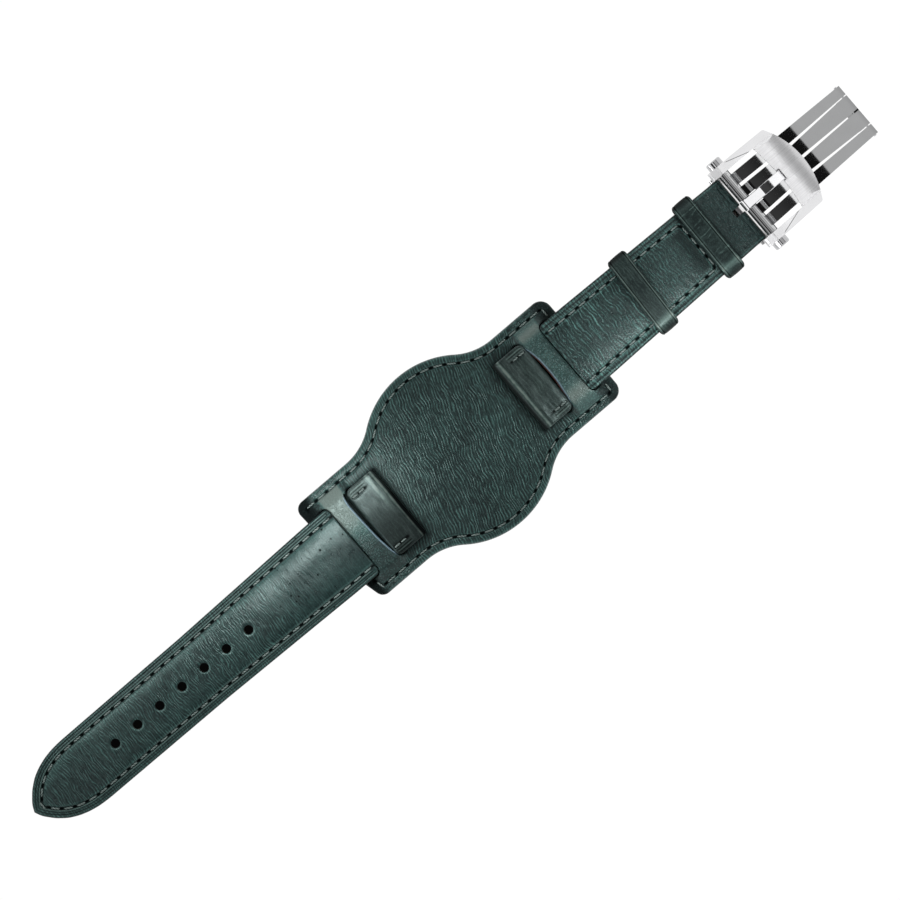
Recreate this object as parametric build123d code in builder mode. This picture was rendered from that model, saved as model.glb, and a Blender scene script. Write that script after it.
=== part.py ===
from build123d import *
import math
import os

# Watch strap with a wide leather pad under the watch and a folding clasp.
# Millimetres. +X runs towards the clasp, +Z is up, Y is across the strap.
# The origin is the middle of the pad's round part, on its underside, which lies on the table.

# ---------------------------------------------------------------- driving dimensions
# pad
PAD_R = 22.75            # radius of the round middle
PAD_HALF_LEN = 38.9      # the pad's ends
PAD_HALF_W = 15.0        # half width of its straight ends
PAD_BLEND_R = 15.25      # concave blend between round and straight
PAD_CORNER_R = 2.2
# corners of the straight ends: the end towards the tip is cut a little askew
PAD_END = [(38.9, -15.0), (38.9, 15.0), (-39.2, 15.0), (-39.0, 9.0), (-38.3, -9.0), (-37.0, -15.0)]
LINING_T = 1.0
PAD_T = 2.4              # both layers
INNER_SLOT = (24.9, 28.3)
OUTER_SLOT = (33.3, 36.4)
SLOT_HALF_W = 10.4
SLOT_R = 0.5
BRIDGE_RISE = 2.0        # the bridges stand over the strap's neck
BRIDGE_FLAT = 10.2       # half width of a bridge's level part
BRIDGE_FOOT = 12.9       # where its slopes meet the pad
PAD_STITCH_IN = 2.0
PAD_PITCH = 3.35

# strap, shared by both halves
LUG_HALF_W = 10.0        # 20 mm at the watch
LOOP_R = 1.6             # outer radius of the folded loop for the watch's spring bar
LOOP_BORE_R = 0.9
LOOP_X = 20.4
LOOP_Z = 4.0
NECK_T = 1.9             # the neck that passes under the bridge
BEND_X = 41.0            # line where a half bends against the pad
BEND_Z = 4.0
NOSE_R = 1.8             # half the strap's thickness at the bend
BEND_GAP = 0.3
SLOPE = math.radians(11)  # a half runs down from the pad to the table
STITCH_IN = 2.25
STITCH_PITCH = 3.2
STITCH = (2.1, 0.5, 0.5)  # length, width and height of a stitch

# long half
TIP_X = 134.05
HOLE_R = 1.1
HOLE_FIRST = 66.5
HOLE_PITCH = 7.0
HOLES = 7

# short half
SHORT_Z = 1.1            # the keepers lift it off the table
END_HALF_W = 9.05        # 18 mm at the clasp
AXIS_A = (88.05, 1.4)    # spring bar that carries the clasp
END_R = 1.25             # outer radius of the end fold
KEEPER_L = 5.3
KEEPER_T = 1.0
KEEPER_IN_W = 10.05
KEEPER_TOP = 7.5
FREE_KEEPER_X = 58.15
FIXED_KEEPER_X = 78.55

# clasp
AXIS_B = (90.9, 4.3)     # pivot of the frame and the tang
FAR = (125.0, 0.95)      # far hinge of the two blades
FAR_R = 0.9
FAR_END = 125.95         # the blades' ends, just past the hinge
FAR_PIN_R = 0.42
RUN = 0.05               # running clearance, radial
ARC_R = 48.0             # curve of the blades' middle surface
ARC_X = 108.5
APEX_Z = 4.42
BLADE_T = 1.0
TUBE_R = 1.3
PIN_R = 0.7
LOBE_R = 3.0             # round rear end of the frame's legs
FRAME_HALF_W = 11.4
WINDOW_HALF_W = 9.2
FRONT_X = 108.0
FRONT_R = 21.0
BUTTON_R = 2.02
BUTTON_TRAVEL = 0.8
TANG_HALF_W = 1.25

os.makedirs("parts", exist_ok=True)


def side(y):
    """The XZ plane at this Y. Extruding a positive amount from it goes towards -Y."""
    return Plane.XZ.offset(-y)


def polygon(*points):
    """A closed straight-sided face in the current sketch."""
    Polygon(*points)


def finish(part, name):
    part.label = name
    export_step(part, "parts/" + name + ".step")
    print(name, round(part.volume, 3), len(part.solids()))


# ---------------------------------------------------------------- pad
with BuildSketch() as pad_plan:
    Circle(PAD_R)
    Polygon(*PAD_END)
    inner = pad_plan.vertices().filter_by_position(Axis.X, -20, 20)
    fillet(inner, PAD_BLEND_R)
    fillet(pad_plan.vertices().filter_by_position(Axis.X, -45, -30).filter_by_position(Axis.Y, 12, 20), PAD_CORNER_R)
    fillet(pad_plan.vertices().filter_by_position(Axis.X, -45, -30).filter_by_position(Axis.Y, -20, -12), PAD_CORNER_R)
    fillet(pad_plan.vertices().filter_by_position(Axis.X, 30, 45), PAD_CORNER_R + 0.6)

with BuildSketch() as pad_inset:
    add(pad_plan.sketch)
    offset(amount=-PAD_STITCH_IN, mode=Mode.REPLACE)

SLOT_MID = [(sum(INNER_SLOT) / 2, INNER_SLOT), (sum(OUTER_SLOT) / 2, OUTER_SLOT)]


def slots_and_bridge_gap(thickness, z0):
    """Cuts the two pairs of slots, and the strip between each pair, out of the flat plate."""
    for sign in (-1, 1):
        for mid, (a, b) in SLOT_MID:
            with BuildSketch(Plane.XY.offset(z0)) as slot:
                with Locations((sign * mid, 0)):
                    RectangleRounded(b - a, 2 * SLOT_HALF_W, SLOT_R)
            extrude(slot.sketch, amount=thickness, mode=Mode.SUBTRACT)
        with BuildSketch(Plane.XY.offset(z0)) as strip:
            with Locations((sign * (INNER_SLOT[1] + OUTER_SLOT[0]) / 2, 0)):
                Rectangle(OUTER_SLOT[0] - INNER_SLOT[1], 2 * BRIDGE_FOOT)
        extrude(strip.sketch, amount=thickness, mode=Mode.SUBTRACT)


def bridge(low, high):
    """One layer of each bridge: level in the middle, sloping down to the plate at both sides."""
    for start in (INNER_SLOT[1], -OUTER_SLOT[0]):
        with BuildSketch(Plane.YZ.offset(start)) as section:
            polygon(
                (-BRIDGE_FOOT, high), (-BRIDGE_FLAT, high + BRIDGE_RISE),
                (BRIDGE_FLAT, high + BRIDGE_RISE), (BRIDGE_FOOT, high),
                (BRIDGE_FOOT, low), (BRIDGE_FLAT, low + BRIDGE_RISE),
                (-BRIDGE_FLAT, low + BRIDGE_RISE), (-BRIDGE_FOOT, low),
            )
        extrude(section.sketch, amount=OUTER_SLOT[0] - INNER_SLOT[1])


with BuildPart() as pad_thread:
    wire = pad_inset.face().outer_wire()
    count = round(wire.length / PAD_PITCH)
    for i in range(count):
        d = wire.length * (i + 0.5) / count
        p = wire.position_at(d, position_mode=PositionMode.LENGTH)
        t = wire.tangent_at(d, position_mode=PositionMode.LENGTH)
        if abs(p.X) > OUTER_SLOT[0] - 1.5 and abs(p.Y) < SLOT_HALF_W + 1.4:
            continue      # under the strap
        turn = math.degrees(math.atan2(t.Y, t.X))
        with Locations(Location((p.X, p.Y, PAD_T), (0, 0, turn))):
            Box(*STITCH)

with BuildPart() as pad_lining:
    with BuildSketch(Plane.XY):
        add(pad_plan.sketch)
    extrude(amount=LINING_T)
    slots_and_bridge_gap(LINING_T, 0)
    bridge(0, LINING_T)
finish(pad_lining.part, "pad_lining")

with BuildPart() as pad_top:
    with BuildSketch(Plane.XY.offset(LINING_T)):
        add(pad_plan.sketch)
    extrude(amount=PAD_T - LINING_T)
    slots_and_bridge_gap(PAD_T - LINING_T, LINING_T)
    bridge(LINING_T, PAD_T)
    add(pad_thread.part, mode=Mode.SUBTRACT)
finish(pad_top.part, "pad_top")
finish(pad_thread.part, "pad_thread")


# ---------------------------------------------------------------- folded inner ends
def inner_end(sign):
    """Wide part on the pad's end, neck down through the outer slot and under the bridge,
    up through the inner slot, and the loop that lies on the pad."""
    top = PAD_T + 2 * NOSE_R - 0.2
    with BuildSketch(side(LUG_HALF_W)) as section:
        polygon((sign * 33.5, PAD_T), (sign * BEND_X, PAD_T), (sign * BEND_X, top),
                (sign * 34.1, top), (sign * 33.5, top - 0.6))
        with Locations((sign * BEND_X, BEND_Z)):
            Circle(NOSE_R)
        polygon((sign * 33.65, 0.05), (sign * 36.1, 0.05), (sign * 36.1, PAD_T), (sign * 33.65, PAD_T))
        polygon((sign * 25.2, 0.05), (sign * 36.1, 0.05), (sign * 36.1, 0.05 + NECK_T), (sign * 25.2, 0.05 + NECK_T))
        polygon((sign * 25.2, 0.05), (sign * 27.9, 0.05), (sign * 27.9, 4.3), (sign * 27.2, 5.0),
                (sign * 25.2, 5.0))
        polygon((sign * LOOP_X, PAD_T), (sign * 26.0, PAD_T), (sign * 26.0, 5.0),
                (sign * 23.5, 5.1), (sign * LOOP_X, LOOP_Z + LOOP_R))
        with Locations((sign * LOOP_X, LOOP_Z)):
            Circle(LOOP_R)
        with Locations((sign * LOOP_X, LOOP_Z)):
            Circle(LOOP_BORE_R, mode=Mode.SUBTRACT)
    extrude(section.sketch, amount=2 * LUG_HALF_W)


def tack_locations(sign):
    return [Location((sign * x, y, 5.03)) for x in (24.0, 26.1) for y in (-7.9, 7.9)]


with BuildPart() as long_loop_thread:
    with Locations(*tack_locations(-1)):
        Box(1.7, 0.5, 0.4)
with BuildPart() as long_end_loop:
    inner_end(-1)
    add(long_loop_thread.part, mode=Mode.SUBTRACT)
finish(long_end_loop.part, "long_end_loop")
finish(long_loop_thread.part, "long_loop_thread")

with BuildPart() as short_loop_thread:
    with Locations(*tack_locations(1)):
        Box(1.7, 0.5, 0.4)
with BuildPart() as short_end_loop:
    inner_end(1)
    add(short_loop_thread.part, mode=Mode.SUBTRACT)
finish(short_end_loop.part, "short_end_loop")
finish(short_loop_thread.part, "short_loop_thread")

# ---------------------------------------------------------------- shared start of both halves
# The half starts at a flat face, square to its own slope, that clears the round nose.
CS, SN = math.cos(SLOPE), math.sin(SLOPE)
FACE = (BEND_X + (NOSE_R + BEND_GAP) * CS, BEND_Z - (NOSE_R + BEND_GAP) * SN)
FACE_LOW = (FACE[0] - NOSE_R * SN, FACE[1] - NOSE_R * CS)
FACE_HIGH = (FACE[0] + NOSE_R * SN, FACE[1] + NOSE_R * CS)


def at_slope(x, start):
    """Height at x on the line through start that runs down at the slope."""
    return start[1] - (x - start[0]) * math.tan(SLOPE)


FACE_MID = (FACE_LOW[0] + LINING_T * SN, FACE_LOW[1] + LINING_T * CS)


def on_line(points, x):
    for (x0, z0), (x1, z1) in zip(points, points[1:]):
        if x0 <= x <= x1:
            return z0 + (z1 - z0) * (x - x0) / (x1 - x0)
    return points[-1][1]


def slope_of(points, x):
    for (x0, z0), (x1, z1) in zip(points, points[1:]):
        if x0 <= x <= x1:
            return math.degrees(math.atan2(z1 - z0, x1 - x0))
    return 0.0


# ---------------------------------------------------------------- long half (towards -X)
LONG_TOUCH = FACE_LOW[0] + FACE_LOW[1] / math.tan(SLOPE)
LONG_TOP = [FACE_HIGH, (54.0, 3.85), (110.0, 3.2), (TIP_X + 0.1, 2.1)]
LONG_LOW = [FACE_LOW, (LONG_TOUCH, 0.0), (TIP_X + 0.1, 0.0)]
LONG_MID = [FACE_MID, (LONG_TOUCH + LINING_T * math.tan(SLOPE / 2), LINING_T), (TIP_X + 0.1, LINING_T)]
TIP_TABLE = [(119.06, 8.96), (121.46, 8.75), (123.86, 8.27), (126.26, 7.49), (128.66, 6.29), (131.05, 4.38),
             (133.3, 1.75)]


def left(points):
    return [(-x, z) for x, z in points]


with BuildSketch() as long_plan:
    with BuildLine():
        Polyline((-116.7, 9.0), (-80.7, 9.15), (-BEND_X, 9.95), (-BEND_X, -9.95), (-80.7, -9.15), (-116.7, -9.0))
        Spline((-116.7, 9.0), *[(-x, y) for x, y in TIP_TABLE], (-TIP_X, 0.0),
               *[(-x, -y) for x, y in reversed(TIP_TABLE)], (-116.7, -9.0),
               tangents=((-1, 0), (1, 0)))
    make_face()

with BuildSketch() as long_inset:
    add(long_plan.sketch)
    offset(amount=-STITCH_IN, mode=Mode.REPLACE)

with BuildPart() as long_thread:
    wire = long_inset.face().outer_wire()
    count = round(wire.length / STITCH_PITCH)
    for i in range(count):
        d = wire.length * (i + 0.5) / count
        p = wire.position_at(d, position_mode=PositionMode.LENGTH)
        t = wire.tangent_at(d, position_mode=PositionMode.LENGTH)
        if abs(p.X) < 45.6:
            continue
        turn = math.degrees(math.atan2(t.Y, t.X))
        tilt = slope_of(LONG_TOP, -p.X)
        with Locations(Location((p.X, p.Y, on_line(LONG_TOP, -p.X)), (0, tilt, 0)) * Location((0, 0, 0), (0, 0, turn))):
            Box(*STITCH)

with BuildPart() as long_filler:
    with BuildSketch():
        with Locations((-79.0, 0)):
            RectangleRounded(66.0, 11.8, 2.0)
    extrude(amount=8)
    with BuildSketch(side(8)):
        polygon((-112.0, LINING_T), (-LONG_MID[1][0], LINING_T), (-46.0, at_slope(46.0, FACE_MID)),
                (-46.0, on_line(LONG_TOP, 46.0) - 1.3), (-54.0, 2.55), (-112.0, 1.9))
    extrude(amount=16, mode=Mode.INTERSECT)
    with Locations(*[(-HOLE_FIRST - i * HOLE_PITCH, 0, 0) for i in range(HOLES)]):
        Cylinder(HOLE_R, 20, mode=Mode.SUBTRACT)
finish(long_filler.part, "long_filler")

with BuildPart() as long_lining:
    with BuildSketch():
        add(long_plan.sketch)
    extrude(amount=8)
    with BuildSketch(side(12)):
        polygon(*left(LONG_LOW), *reversed(left(LONG_MID)))
    extrude(amount=24, mode=Mode.INTERSECT)
    with Locations(*[(-HOLE_FIRST - i * HOLE_PITCH, 0, 0) for i in range(HOLES)]):
        Cylinder(HOLE_R, 20, mode=Mode.SUBTRACT)
finish(long_lining.part, "long_lining")

with BuildPart() as long_top:
    with BuildSketch():
        add(long_plan.sketch)
    extrude(amount=8)
    with BuildSketch(side(12)):
        polygon(*left(LONG_MID), *reversed(left(LONG_TOP)))
    extrude(amount=24, mode=Mode.INTERSECT)
    with Locations(*[(-HOLE_FIRST - i * HOLE_PITCH, 0, 0) for i in range(HOLES)]):
        Cylinder(HOLE_R, 20, mode=Mode.SUBTRACT)
    add(long_filler.part, mode=Mode.SUBTRACT)
    add(long_thread.part, mode=Mode.SUBTRACT)
finish(long_top.part, "long_top")
finish(long_thread.part, "long_thread")

# ---------------------------------------------------------------- short half (towards +X)
SHORT_TOUCH = FACE_LOW[0] + (FACE_LOW[1] - SHORT_Z) / math.tan(SLOPE)
A_TAN = 0.19              # the end fold runs down to the spring bar
SHORT_TOP = [FACE_HIGH, (47.6, 4.62), (76.0, 4.2), (82.4, 3.75), (AXIS_A[0] + 0.25, AXIS_A[1] + END_R - 0.02)]
SHORT_LOW = [FACE_LOW, (SHORT_TOUCH, SHORT_Z), (82.0, SHORT_Z), (AXIS_A[0] - 0.2, AXIS_A[1] - END_R + 0.015)]
SHORT_MID = [FACE_MID, (SHORT_TOUCH + 1.0 * math.tan(SLOPE / 2), SHORT_Z + 1.0), (82.0, SHORT_Z + 1.0)]

with BuildSketch() as short_plan:
    polygon((BEND_X, 9.95), (87.0, END_HALF_W), (95.0, END_HALF_W), (95.0, -END_HALF_W), (87.0, -END_HALF_W),
            (BEND_X, -9.95))

with BuildPart() as short_thread:
    spots = []
    for sign in (-1, 1):
        n = 9
        for i in range(n):
            x = 46.0 + (74.0 - 46.0) * (i + 0.5) / n
            y = sign * (7.55 + (6.95 - 7.55) * (x - 41.6) / (75.0 - 41.6))
            spots.append((x, y, 0.0))
        spots.append((74.9, sign * 6.3, -sign * 60.0))
    for y in (-4.2, -1.4, 1.4, 4.2):
        spots.append((75.2, y, 90.0))
    for x, y, turn in spots:
        tilt = -slope_of(SHORT_TOP, x)
        with Locations(Location((x, y, on_line(SHORT_TOP, x)), (0, tilt, 0)) * Location((0, 0, 0), (0, 0, turn))):
            Box(STITCH[0] if turn != 90.0 else 2.0, STITCH[1], STITCH[2])

with BuildPart() as short_filler:
    with BuildSketch():
        with Locations((60.0, 0)):
            RectangleRounded(28.0, 11.2, 2.0)
    extrude(amount=8)
    with BuildSketch(side(8)):
        polygon((46.0, at_slope(46.0, FACE_MID)), SHORT_MID[1], (74.0, SHORT_Z + 1.0), (74.0, 3.0),
                (47.6, 3.4), (46.0, 3.65))
    extrude(amount=16, mode=Mode.INTERSECT)
finish(short_filler.part, "short_filler")

with BuildPart() as short_lining:
    with BuildSketch():
        add(short_plan.sketch)
    extrude(amount=8)
    with BuildSketch(side(12)):
        polygon(*SHORT_LOW[:3], *reversed(SHORT_MID))
    extrude(amount=24, mode=Mode.INTERSECT)
finish(short_lining.part, "short_lining")

with BuildPart() as short_top:
    with BuildSketch():
        add(short_plan.sketch)
    extrude(amount=8)
    with BuildSketch(side(12)):
        polygon(*SHORT_MID, *SHORT_LOW[2:], AXIS_A, *reversed(SHORT_TOP))
        with Locations(AXIS_A):
            Circle(END_R)
        with Locations(AXIS_A):
            Circle(0.75 + RUN, mode=Mode.SUBTRACT)
    extrude(amount=24, mode=Mode.INTERSECT)
    # slit in the middle of the end fold, where the bar shows
    with Locations((88.2, 0, 2)):
        Box(3.0, 1.9, 8, mode=Mode.SUBTRACT)
    add(short_filler.part, mode=Mode.SUBTRACT)
    add(short_thread.part, mode=Mode.SUBTRACT)
finish(short_top.part, "short_top")
finish(short_thread.part, "short_thread")


def keeper(x):
    """Closed leather band round the strap, with room above it for the other half's tail."""
    with BuildSketch(Plane.YZ.offset(x - KEEPER_L / 2)) as section:
        with Locations((0, KEEPER_TOP / 2)):
            RectangleRounded(2 * (KEEPER_IN_W + KEEPER_T), KEEPER_TOP, 2.0)
        with Locations((0, (1.0 + KEEPER_TOP - KEEPER_T) / 2)):
            RectangleRounded(2 * KEEPER_IN_W, KEEPER_TOP - KEEPER_T - 1.0, 0.3, mode=Mode.SUBTRACT)
    extrude(section.sketch, amount=KEEPER_L)


with BuildPart() as free_keeper:
    keeper(FREE_KEEPER_X)
finish(free_keeper.part, "free_keeper")

with BuildPart() as fixed_keeper:
    keeper(FIXED_KEEPER_X)
finish(fixed_keeper.part, "fixed_keeper")

# ---------------------------------------------------------------- spring bar of the short half
with BuildPart() as spring_bar_tube:
    with BuildSketch(side(7.7)):
        with Locations(AXIS_A):
            Circle(0.75)
            Circle(0.52, mode=Mode.SUBTRACT)
    extrude(amount=15.4)
finish(spring_bar_tube.part, "spring_bar_tube")


def bar_tip(sign):
    """Stepped pin: its wide end slides in the tube, its collar is where a tool pushes it in,
    and its point stands in the ear's hole."""
    for a, b, r in ((6.6, 8.75, 0.47), (8.75, 9.05, 0.7), (9.05, 9.95, 0.45)):
        with BuildSketch(side(b if sign > 0 else -a)) as step:
            with Locations(AXIS_A):
                Circle(r)
        extrude(step.sketch, amount=b - a)


with BuildPart() as spring_bar_tip_left:
    bar_tip(1)
finish(spring_bar_tip_left.part, "spring_bar_tip_left")
with BuildPart() as spring_bar_tip_right:
    bar_tip(-1)
finish(spring_bar_tip_right.part, "spring_bar_tip_right")

with BuildPart() as spring_bar_spring:
    # coil between the two tips
    with BuildLine() as coil:
        Helix(pitch=0.9, height=9.9, radius=0.36, center=(AXIS_A[0], 4.95, AXIS_A[1]), direction=(0, -1, 0))
    with BuildSketch(coil.line ^ 0):
        Rectangle(0.18, 0.18)
    sweep(path=coil.line, is_frenet=True)
finish(spring_bar_spring.part, "spring_bar_spring")

# ---------------------------------------------------------------- blades
ARC_CZ = APEX_Z - ARC_R


def arc_z(x, r=ARC_R):
    return ARC_CZ + math.sqrt(r * r - (x - ARC_X) ** 2)


def blade_profile(x0, x1):
    """Section of a blade along its length, between two concentric arcs."""
    ri, ro = ARC_R - BLADE_T / 2, ARC_R + BLADE_T / 2
    mid = (x0 + x1) / 2
    with BuildLine() as outline:
        ThreePointArc((x0, arc_z(x0, ro)), (mid, arc_z(mid, ro)), (x1, arc_z(x1, ro)))
        Line((x1, arc_z(x1, ro)), (x1, arc_z(x1, ri)))
        ThreePointArc((x1, arc_z(x1, ri)), (mid, arc_z(mid, ri)), (x0, arc_z(x0, ri)))
        Line((x0, arc_z(x0, ri)), (x0, arc_z(x0, ro)))
    make_face(outline.edges())


RAIL_IN = [(90.4, 4.95), (93.2, 4.95), (108.0, 4.5), (124.0, 4.65), (127.0, 4.65)]
RAIL_OUT = [(90.4, 7.95), (93.2, 7.9), (108.0, 7.6), (124.0, 7.3), (127.0, 7.3)]
STRIP_OUT = [(92.0, 4.1), (94.6, 4.1), (108.0, 3.75), (124.0, 4.4), (127.0, 4.4)]
GROOVE = [(90.0, 0.42), (94.6, 0.42), (108.0, 0.38), (124.2, 0.15)]

with BuildPart() as base_blade:
    # two outer rails
    with BuildSketch(side(9)):
        blade_profile(92.3, FAR_END)
    extrude(amount=18)
    with BuildSketch():
        for s in (-1, 1):
            polygon(*[(x, s * y) for x, y in RAIL_IN], *[(x, s * y) for x, y in reversed(RAIL_OUT)])
    extrude(amount=8, mode=Mode.INTERSECT)
    edges = base_blade.edges().filter_by_position(Axis.Z, 1.9, 6).filter_by(lambda e: e.length > 20)
    tops = [e for e in edges if (e @ 0.5).Z > APEX_Z]
    if tops:
        chamfer(tops, 0.18)
    # plate under the pivot tubes, which joins the rails
    with BuildSketch(side(8.9)):
        blade_profile(90.6, 92.4)
    extrude(amount=17.8)
    # cross bar with the two ears that hold the spring bar
    with BuildSketch(side(9.95)):
        polygon((90.6, 0.05), (92.6, 0.05), (92.6, 1.0), (90.6, 1.0))
    extrude(amount=19.9)
    for y in (9.95, -9.25):
        with BuildSketch(side(y)):
            polygon((AXIS_A[0], 0.6), (AXIS_A[0] + 0.9, 0.05), (92.0, 0.05), (92.0, 1.0), (AXIS_A[0], 1.0))
            with Locations(AXIS_A):
                Circle(0.85)
            with Locations(AXIS_A):
                Circle(0.5, mode=Mode.SUBTRACT)
        extrude(amount=0.7)
    # knuckles of the far hinge
    for y in (7.3, -4.65):
        with BuildSketch(side(y)):
            with Locations(FAR):
                Circle(FAR_R)
            polygon((122.6, arc_z(122.6) - 0.3), (FAR[0], FAR[1] - 0.6), (FAR[0], FAR[1] + FAR_R - 0.05),
                    (122.6, arc_z(122.6) + 0.4))
        extrude(amount=2.65)
    with BuildSketch(side(8)):
        with Locations(FAR):
            Circle(FAR_PIN_R)
    extrude(amount=16, mode=Mode.SUBTRACT)
finish(base_blade.part, "base_blade")

with BuildPart() as far_hinge_pin:
    with BuildSketch(side(7.62)):
        with Locations(FAR):
            Circle(FAR_PIN_R)
    extrude(amount=15.24)
    chamfer(far_hinge_pin.edges(), 0.12)
finish(far_hinge_pin.part, "far_hinge_pin")

with BuildPart() as fold_blade:
    with BuildSketch(side(5)):
        blade_profile(94.6, FAR_END)
    extrude(amount=10)
    with BuildSketch():
        polygon(*STRIP_OUT, *[(x, -y) for x, y in reversed(STRIP_OUT)])
    extrude(amount=8, mode=Mode.INTERSECT)
    edges = fold_blade.edges().filter_by(lambda e: e.length > 20)
    tops = [e for e in edges if (e @ 0.5).Z > APEX_Z]
    if tops:
        chamfer(tops, 0.18)
    # groove down the middle
    with BuildSketch():
        polygon(*GROOVE, *[(x, -y) for x, y in reversed(GROOVE)])
    extrude(amount=8, mode=Mode.SUBTRACT)
    # knuckle of the far hinge
    with BuildSketch(side(4.4)):
        with Locations(FAR):
            Circle(FAR_R)
        polygon((122.6, arc_z(122.6) - 0.3), (FAR[0], FAR[1] - 0.6), (FAR[0], FAR[1] + FAR_R - 0.05),
                (122.6, arc_z(122.6) + 0.4))
    extrude(amount=8.8)
    # short notch over the far hinge
    with BuildSketch(side(0.22)):
        polygon((124.55, 1.5), (126.6, 1.5), (126.6, 2.4), (124.55, 2.4))
    extrude(amount=0.44, mode=Mode.SUBTRACT)
    # riser from the strips up to the pivot tubes
    for y in (4.1, -1.5):
        with BuildSketch(side(y)):
            polygon((AXIS_B[0] + 0.4, 3.35), (93.0, 3.35), (93.6, 2.0), (95.0, 2.02), (95.0, 2.95), (94.25, 2.95),
                    (93.3, 4.75), (AXIS_B[0] + 0.4, 4.75))
        extrude(amount=2.6)
    for y in (9.1, -1.4):
        with BuildSketch(side(y)):
            with Locations(AXIS_B):
                Circle(TUBE_R)
        extrude(amount=7.7)
    with BuildSketch(side(10)):
        with Locations(AXIS_B):
            Circle(PIN_R)
        with Locations(FAR):
            Circle(FAR_PIN_R + RUN)
    extrude(amount=20, mode=Mode.SUBTRACT)
finish(fold_blade.part, "fold_blade")

with BuildPart() as pivot_pin:
    with BuildSketch(side(10.1)):
        with Locations(AXIS_B):
            Circle(PIN_R)
    extrude(amount=20.2)
    chamfer(pivot_pin.edges(), 0.15)
finish(pivot_pin.part, "pivot_pin")

# ---------------------------------------------------------------- frame
with BuildPart() as buckle_frame:
    # side view: round rear lobes with a squarer shoulder, legs that rise to the domed bow
    with BuildSketch(side(FRAME_HALF_W)):
        with Locations(AXIS_B):
            Circle(LOBE_R)
        with BuildLine():
            Polyline((AXIS_B[0] - 0.3, AXIS_B[1] + LOBE_R - 0.02), (88.9, 6.95))
            ThreePointArc((88.9, 6.95), (88.2, 6.7), (AXIS_B[0] - LOBE_R, 6.0))
            Polyline((AXIS_B[0] - LOBE_R, 6.0), (AXIS_B[0] - LOBE_R, AXIS_B[1]), AXIS_B,
                     (AXIS_B[0] - 0.3, AXIS_B[1] + LOBE_R - 0.02))
        make_face()
        with BuildLine():
            Line((AXIS_B[0] - 0.3, AXIS_B[1] + LOBE_R - 0.02), (100.2, 8.95))
            Spline((100.2, 8.95), (103.6, 9.5), (106.4, 9.05), (FRONT_X, 8.15),
                   tangents=((1, 0.17), (1, -0.75)))
            Polyline((FRONT_X, 8.15), (FRONT_X, 7.35), (106.6, 6.2), (103.0, 5.1), (97.5, 3.6),
                     (AXIS_B[0] + 1.3, AXIS_B[1] - LOBE_R + 0.3), AXIS_B,
                     (AXIS_B[0] - 0.3, AXIS_B[1] + LOBE_R - 0.02))
        make_face()
    extrude(amount=2 * FRAME_HALF_W)
    # outline from above
    half = 8.6
    x_half = FRONT_X - FRONT_R + math.sqrt(FRONT_R ** 2 - half ** 2)
    with BuildSketch() as frame_plan:
        with BuildLine():
            Polyline((x_half, half), (104.9, 11.15), (95.0, FRAME_HALF_W), (87.0, FRAME_HALF_W),
                     (87.0, -FRAME_HALF_W), (95.0, -FRAME_HALF_W), (104.9, -11.15), (x_half, -half))
            ThreePointArc((x_half, -half), (FRONT_X, 0), (x_half, half))
        make_face()
        corners = frame_plan.vertices().filter_by_position(Axis.X, 104.5, 105.2)
        fillet(corners, 0.7)
    extrude(amount=12, mode=Mode.INTERSECT)
    # polished shoulders slope down to the outside
    for s in (-1, 1):
        with BuildSketch(Plane.YZ.offset(85)):
            polygon((s * 8.0, 14.97 - 0.665 * 8.0), (s * 12.5, 14.97 - 0.665 * 12.5), (s * 12.5, 15), (s * 8.0, 15))
        extrude(amount=25, mode=Mode.SUBTRACT)
    # window
    with BuildSketch():
        with BuildLine():
            Polyline((100.1, WINDOW_HALF_W), (85.0, WINDOW_HALF_W), (85.0, -WINDOW_HALF_W), (100.1, -WINDOW_HALF_W))
            ThreePointArc((100.1, -WINDOW_HALF_W), (100.9, 0), (100.1, WINDOW_HALF_W))
        make_face()
    extrude(amount=12, mode=Mode.SUBTRACT)
    # room under the bow for the other half's tail
    with BuildSketch(Plane.YZ.offset(95)):
        with Locations((0, 3.8)):
            RectangleRounded(2 * WINDOW_HALF_W, 7.7, 0.9)
    extrude(amount=16, mode=Mode.SUBTRACT)
    # notch in the bow for the tang's tip
    with BuildSketch(side(1.65)):
        polygon((99.0, 8.05), (101.55, 8.05), (102.0, 10.5), (99.0, 10.5))
    extrude(amount=3.3, mode=Mode.SUBTRACT)
    # pivot holes and the buttons' pockets
    with BuildSketch(side(12)):
        with Locations(AXIS_B):
            Circle(PIN_R + RUN)
    extrude(amount=24, mode=Mode.SUBTRACT)
    for y in (12.0, -10.2):
        with BuildSketch(side(y)):
            with Locations(AXIS_B):
                Circle(BUTTON_R + RUN)
        extrude(amount=1.8, mode=Mode.SUBTRACT)
    # holes for the buttons' latch noses
    with BuildSketch(side(12)):
        with Locations((AXIS_B[0] + 1.3, AXIS_B[1])):
            Circle(0.35)
    extrude(amount=24, mode=Mode.SUBTRACT)
finish(buckle_frame.part, "buckle_frame")

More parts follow.
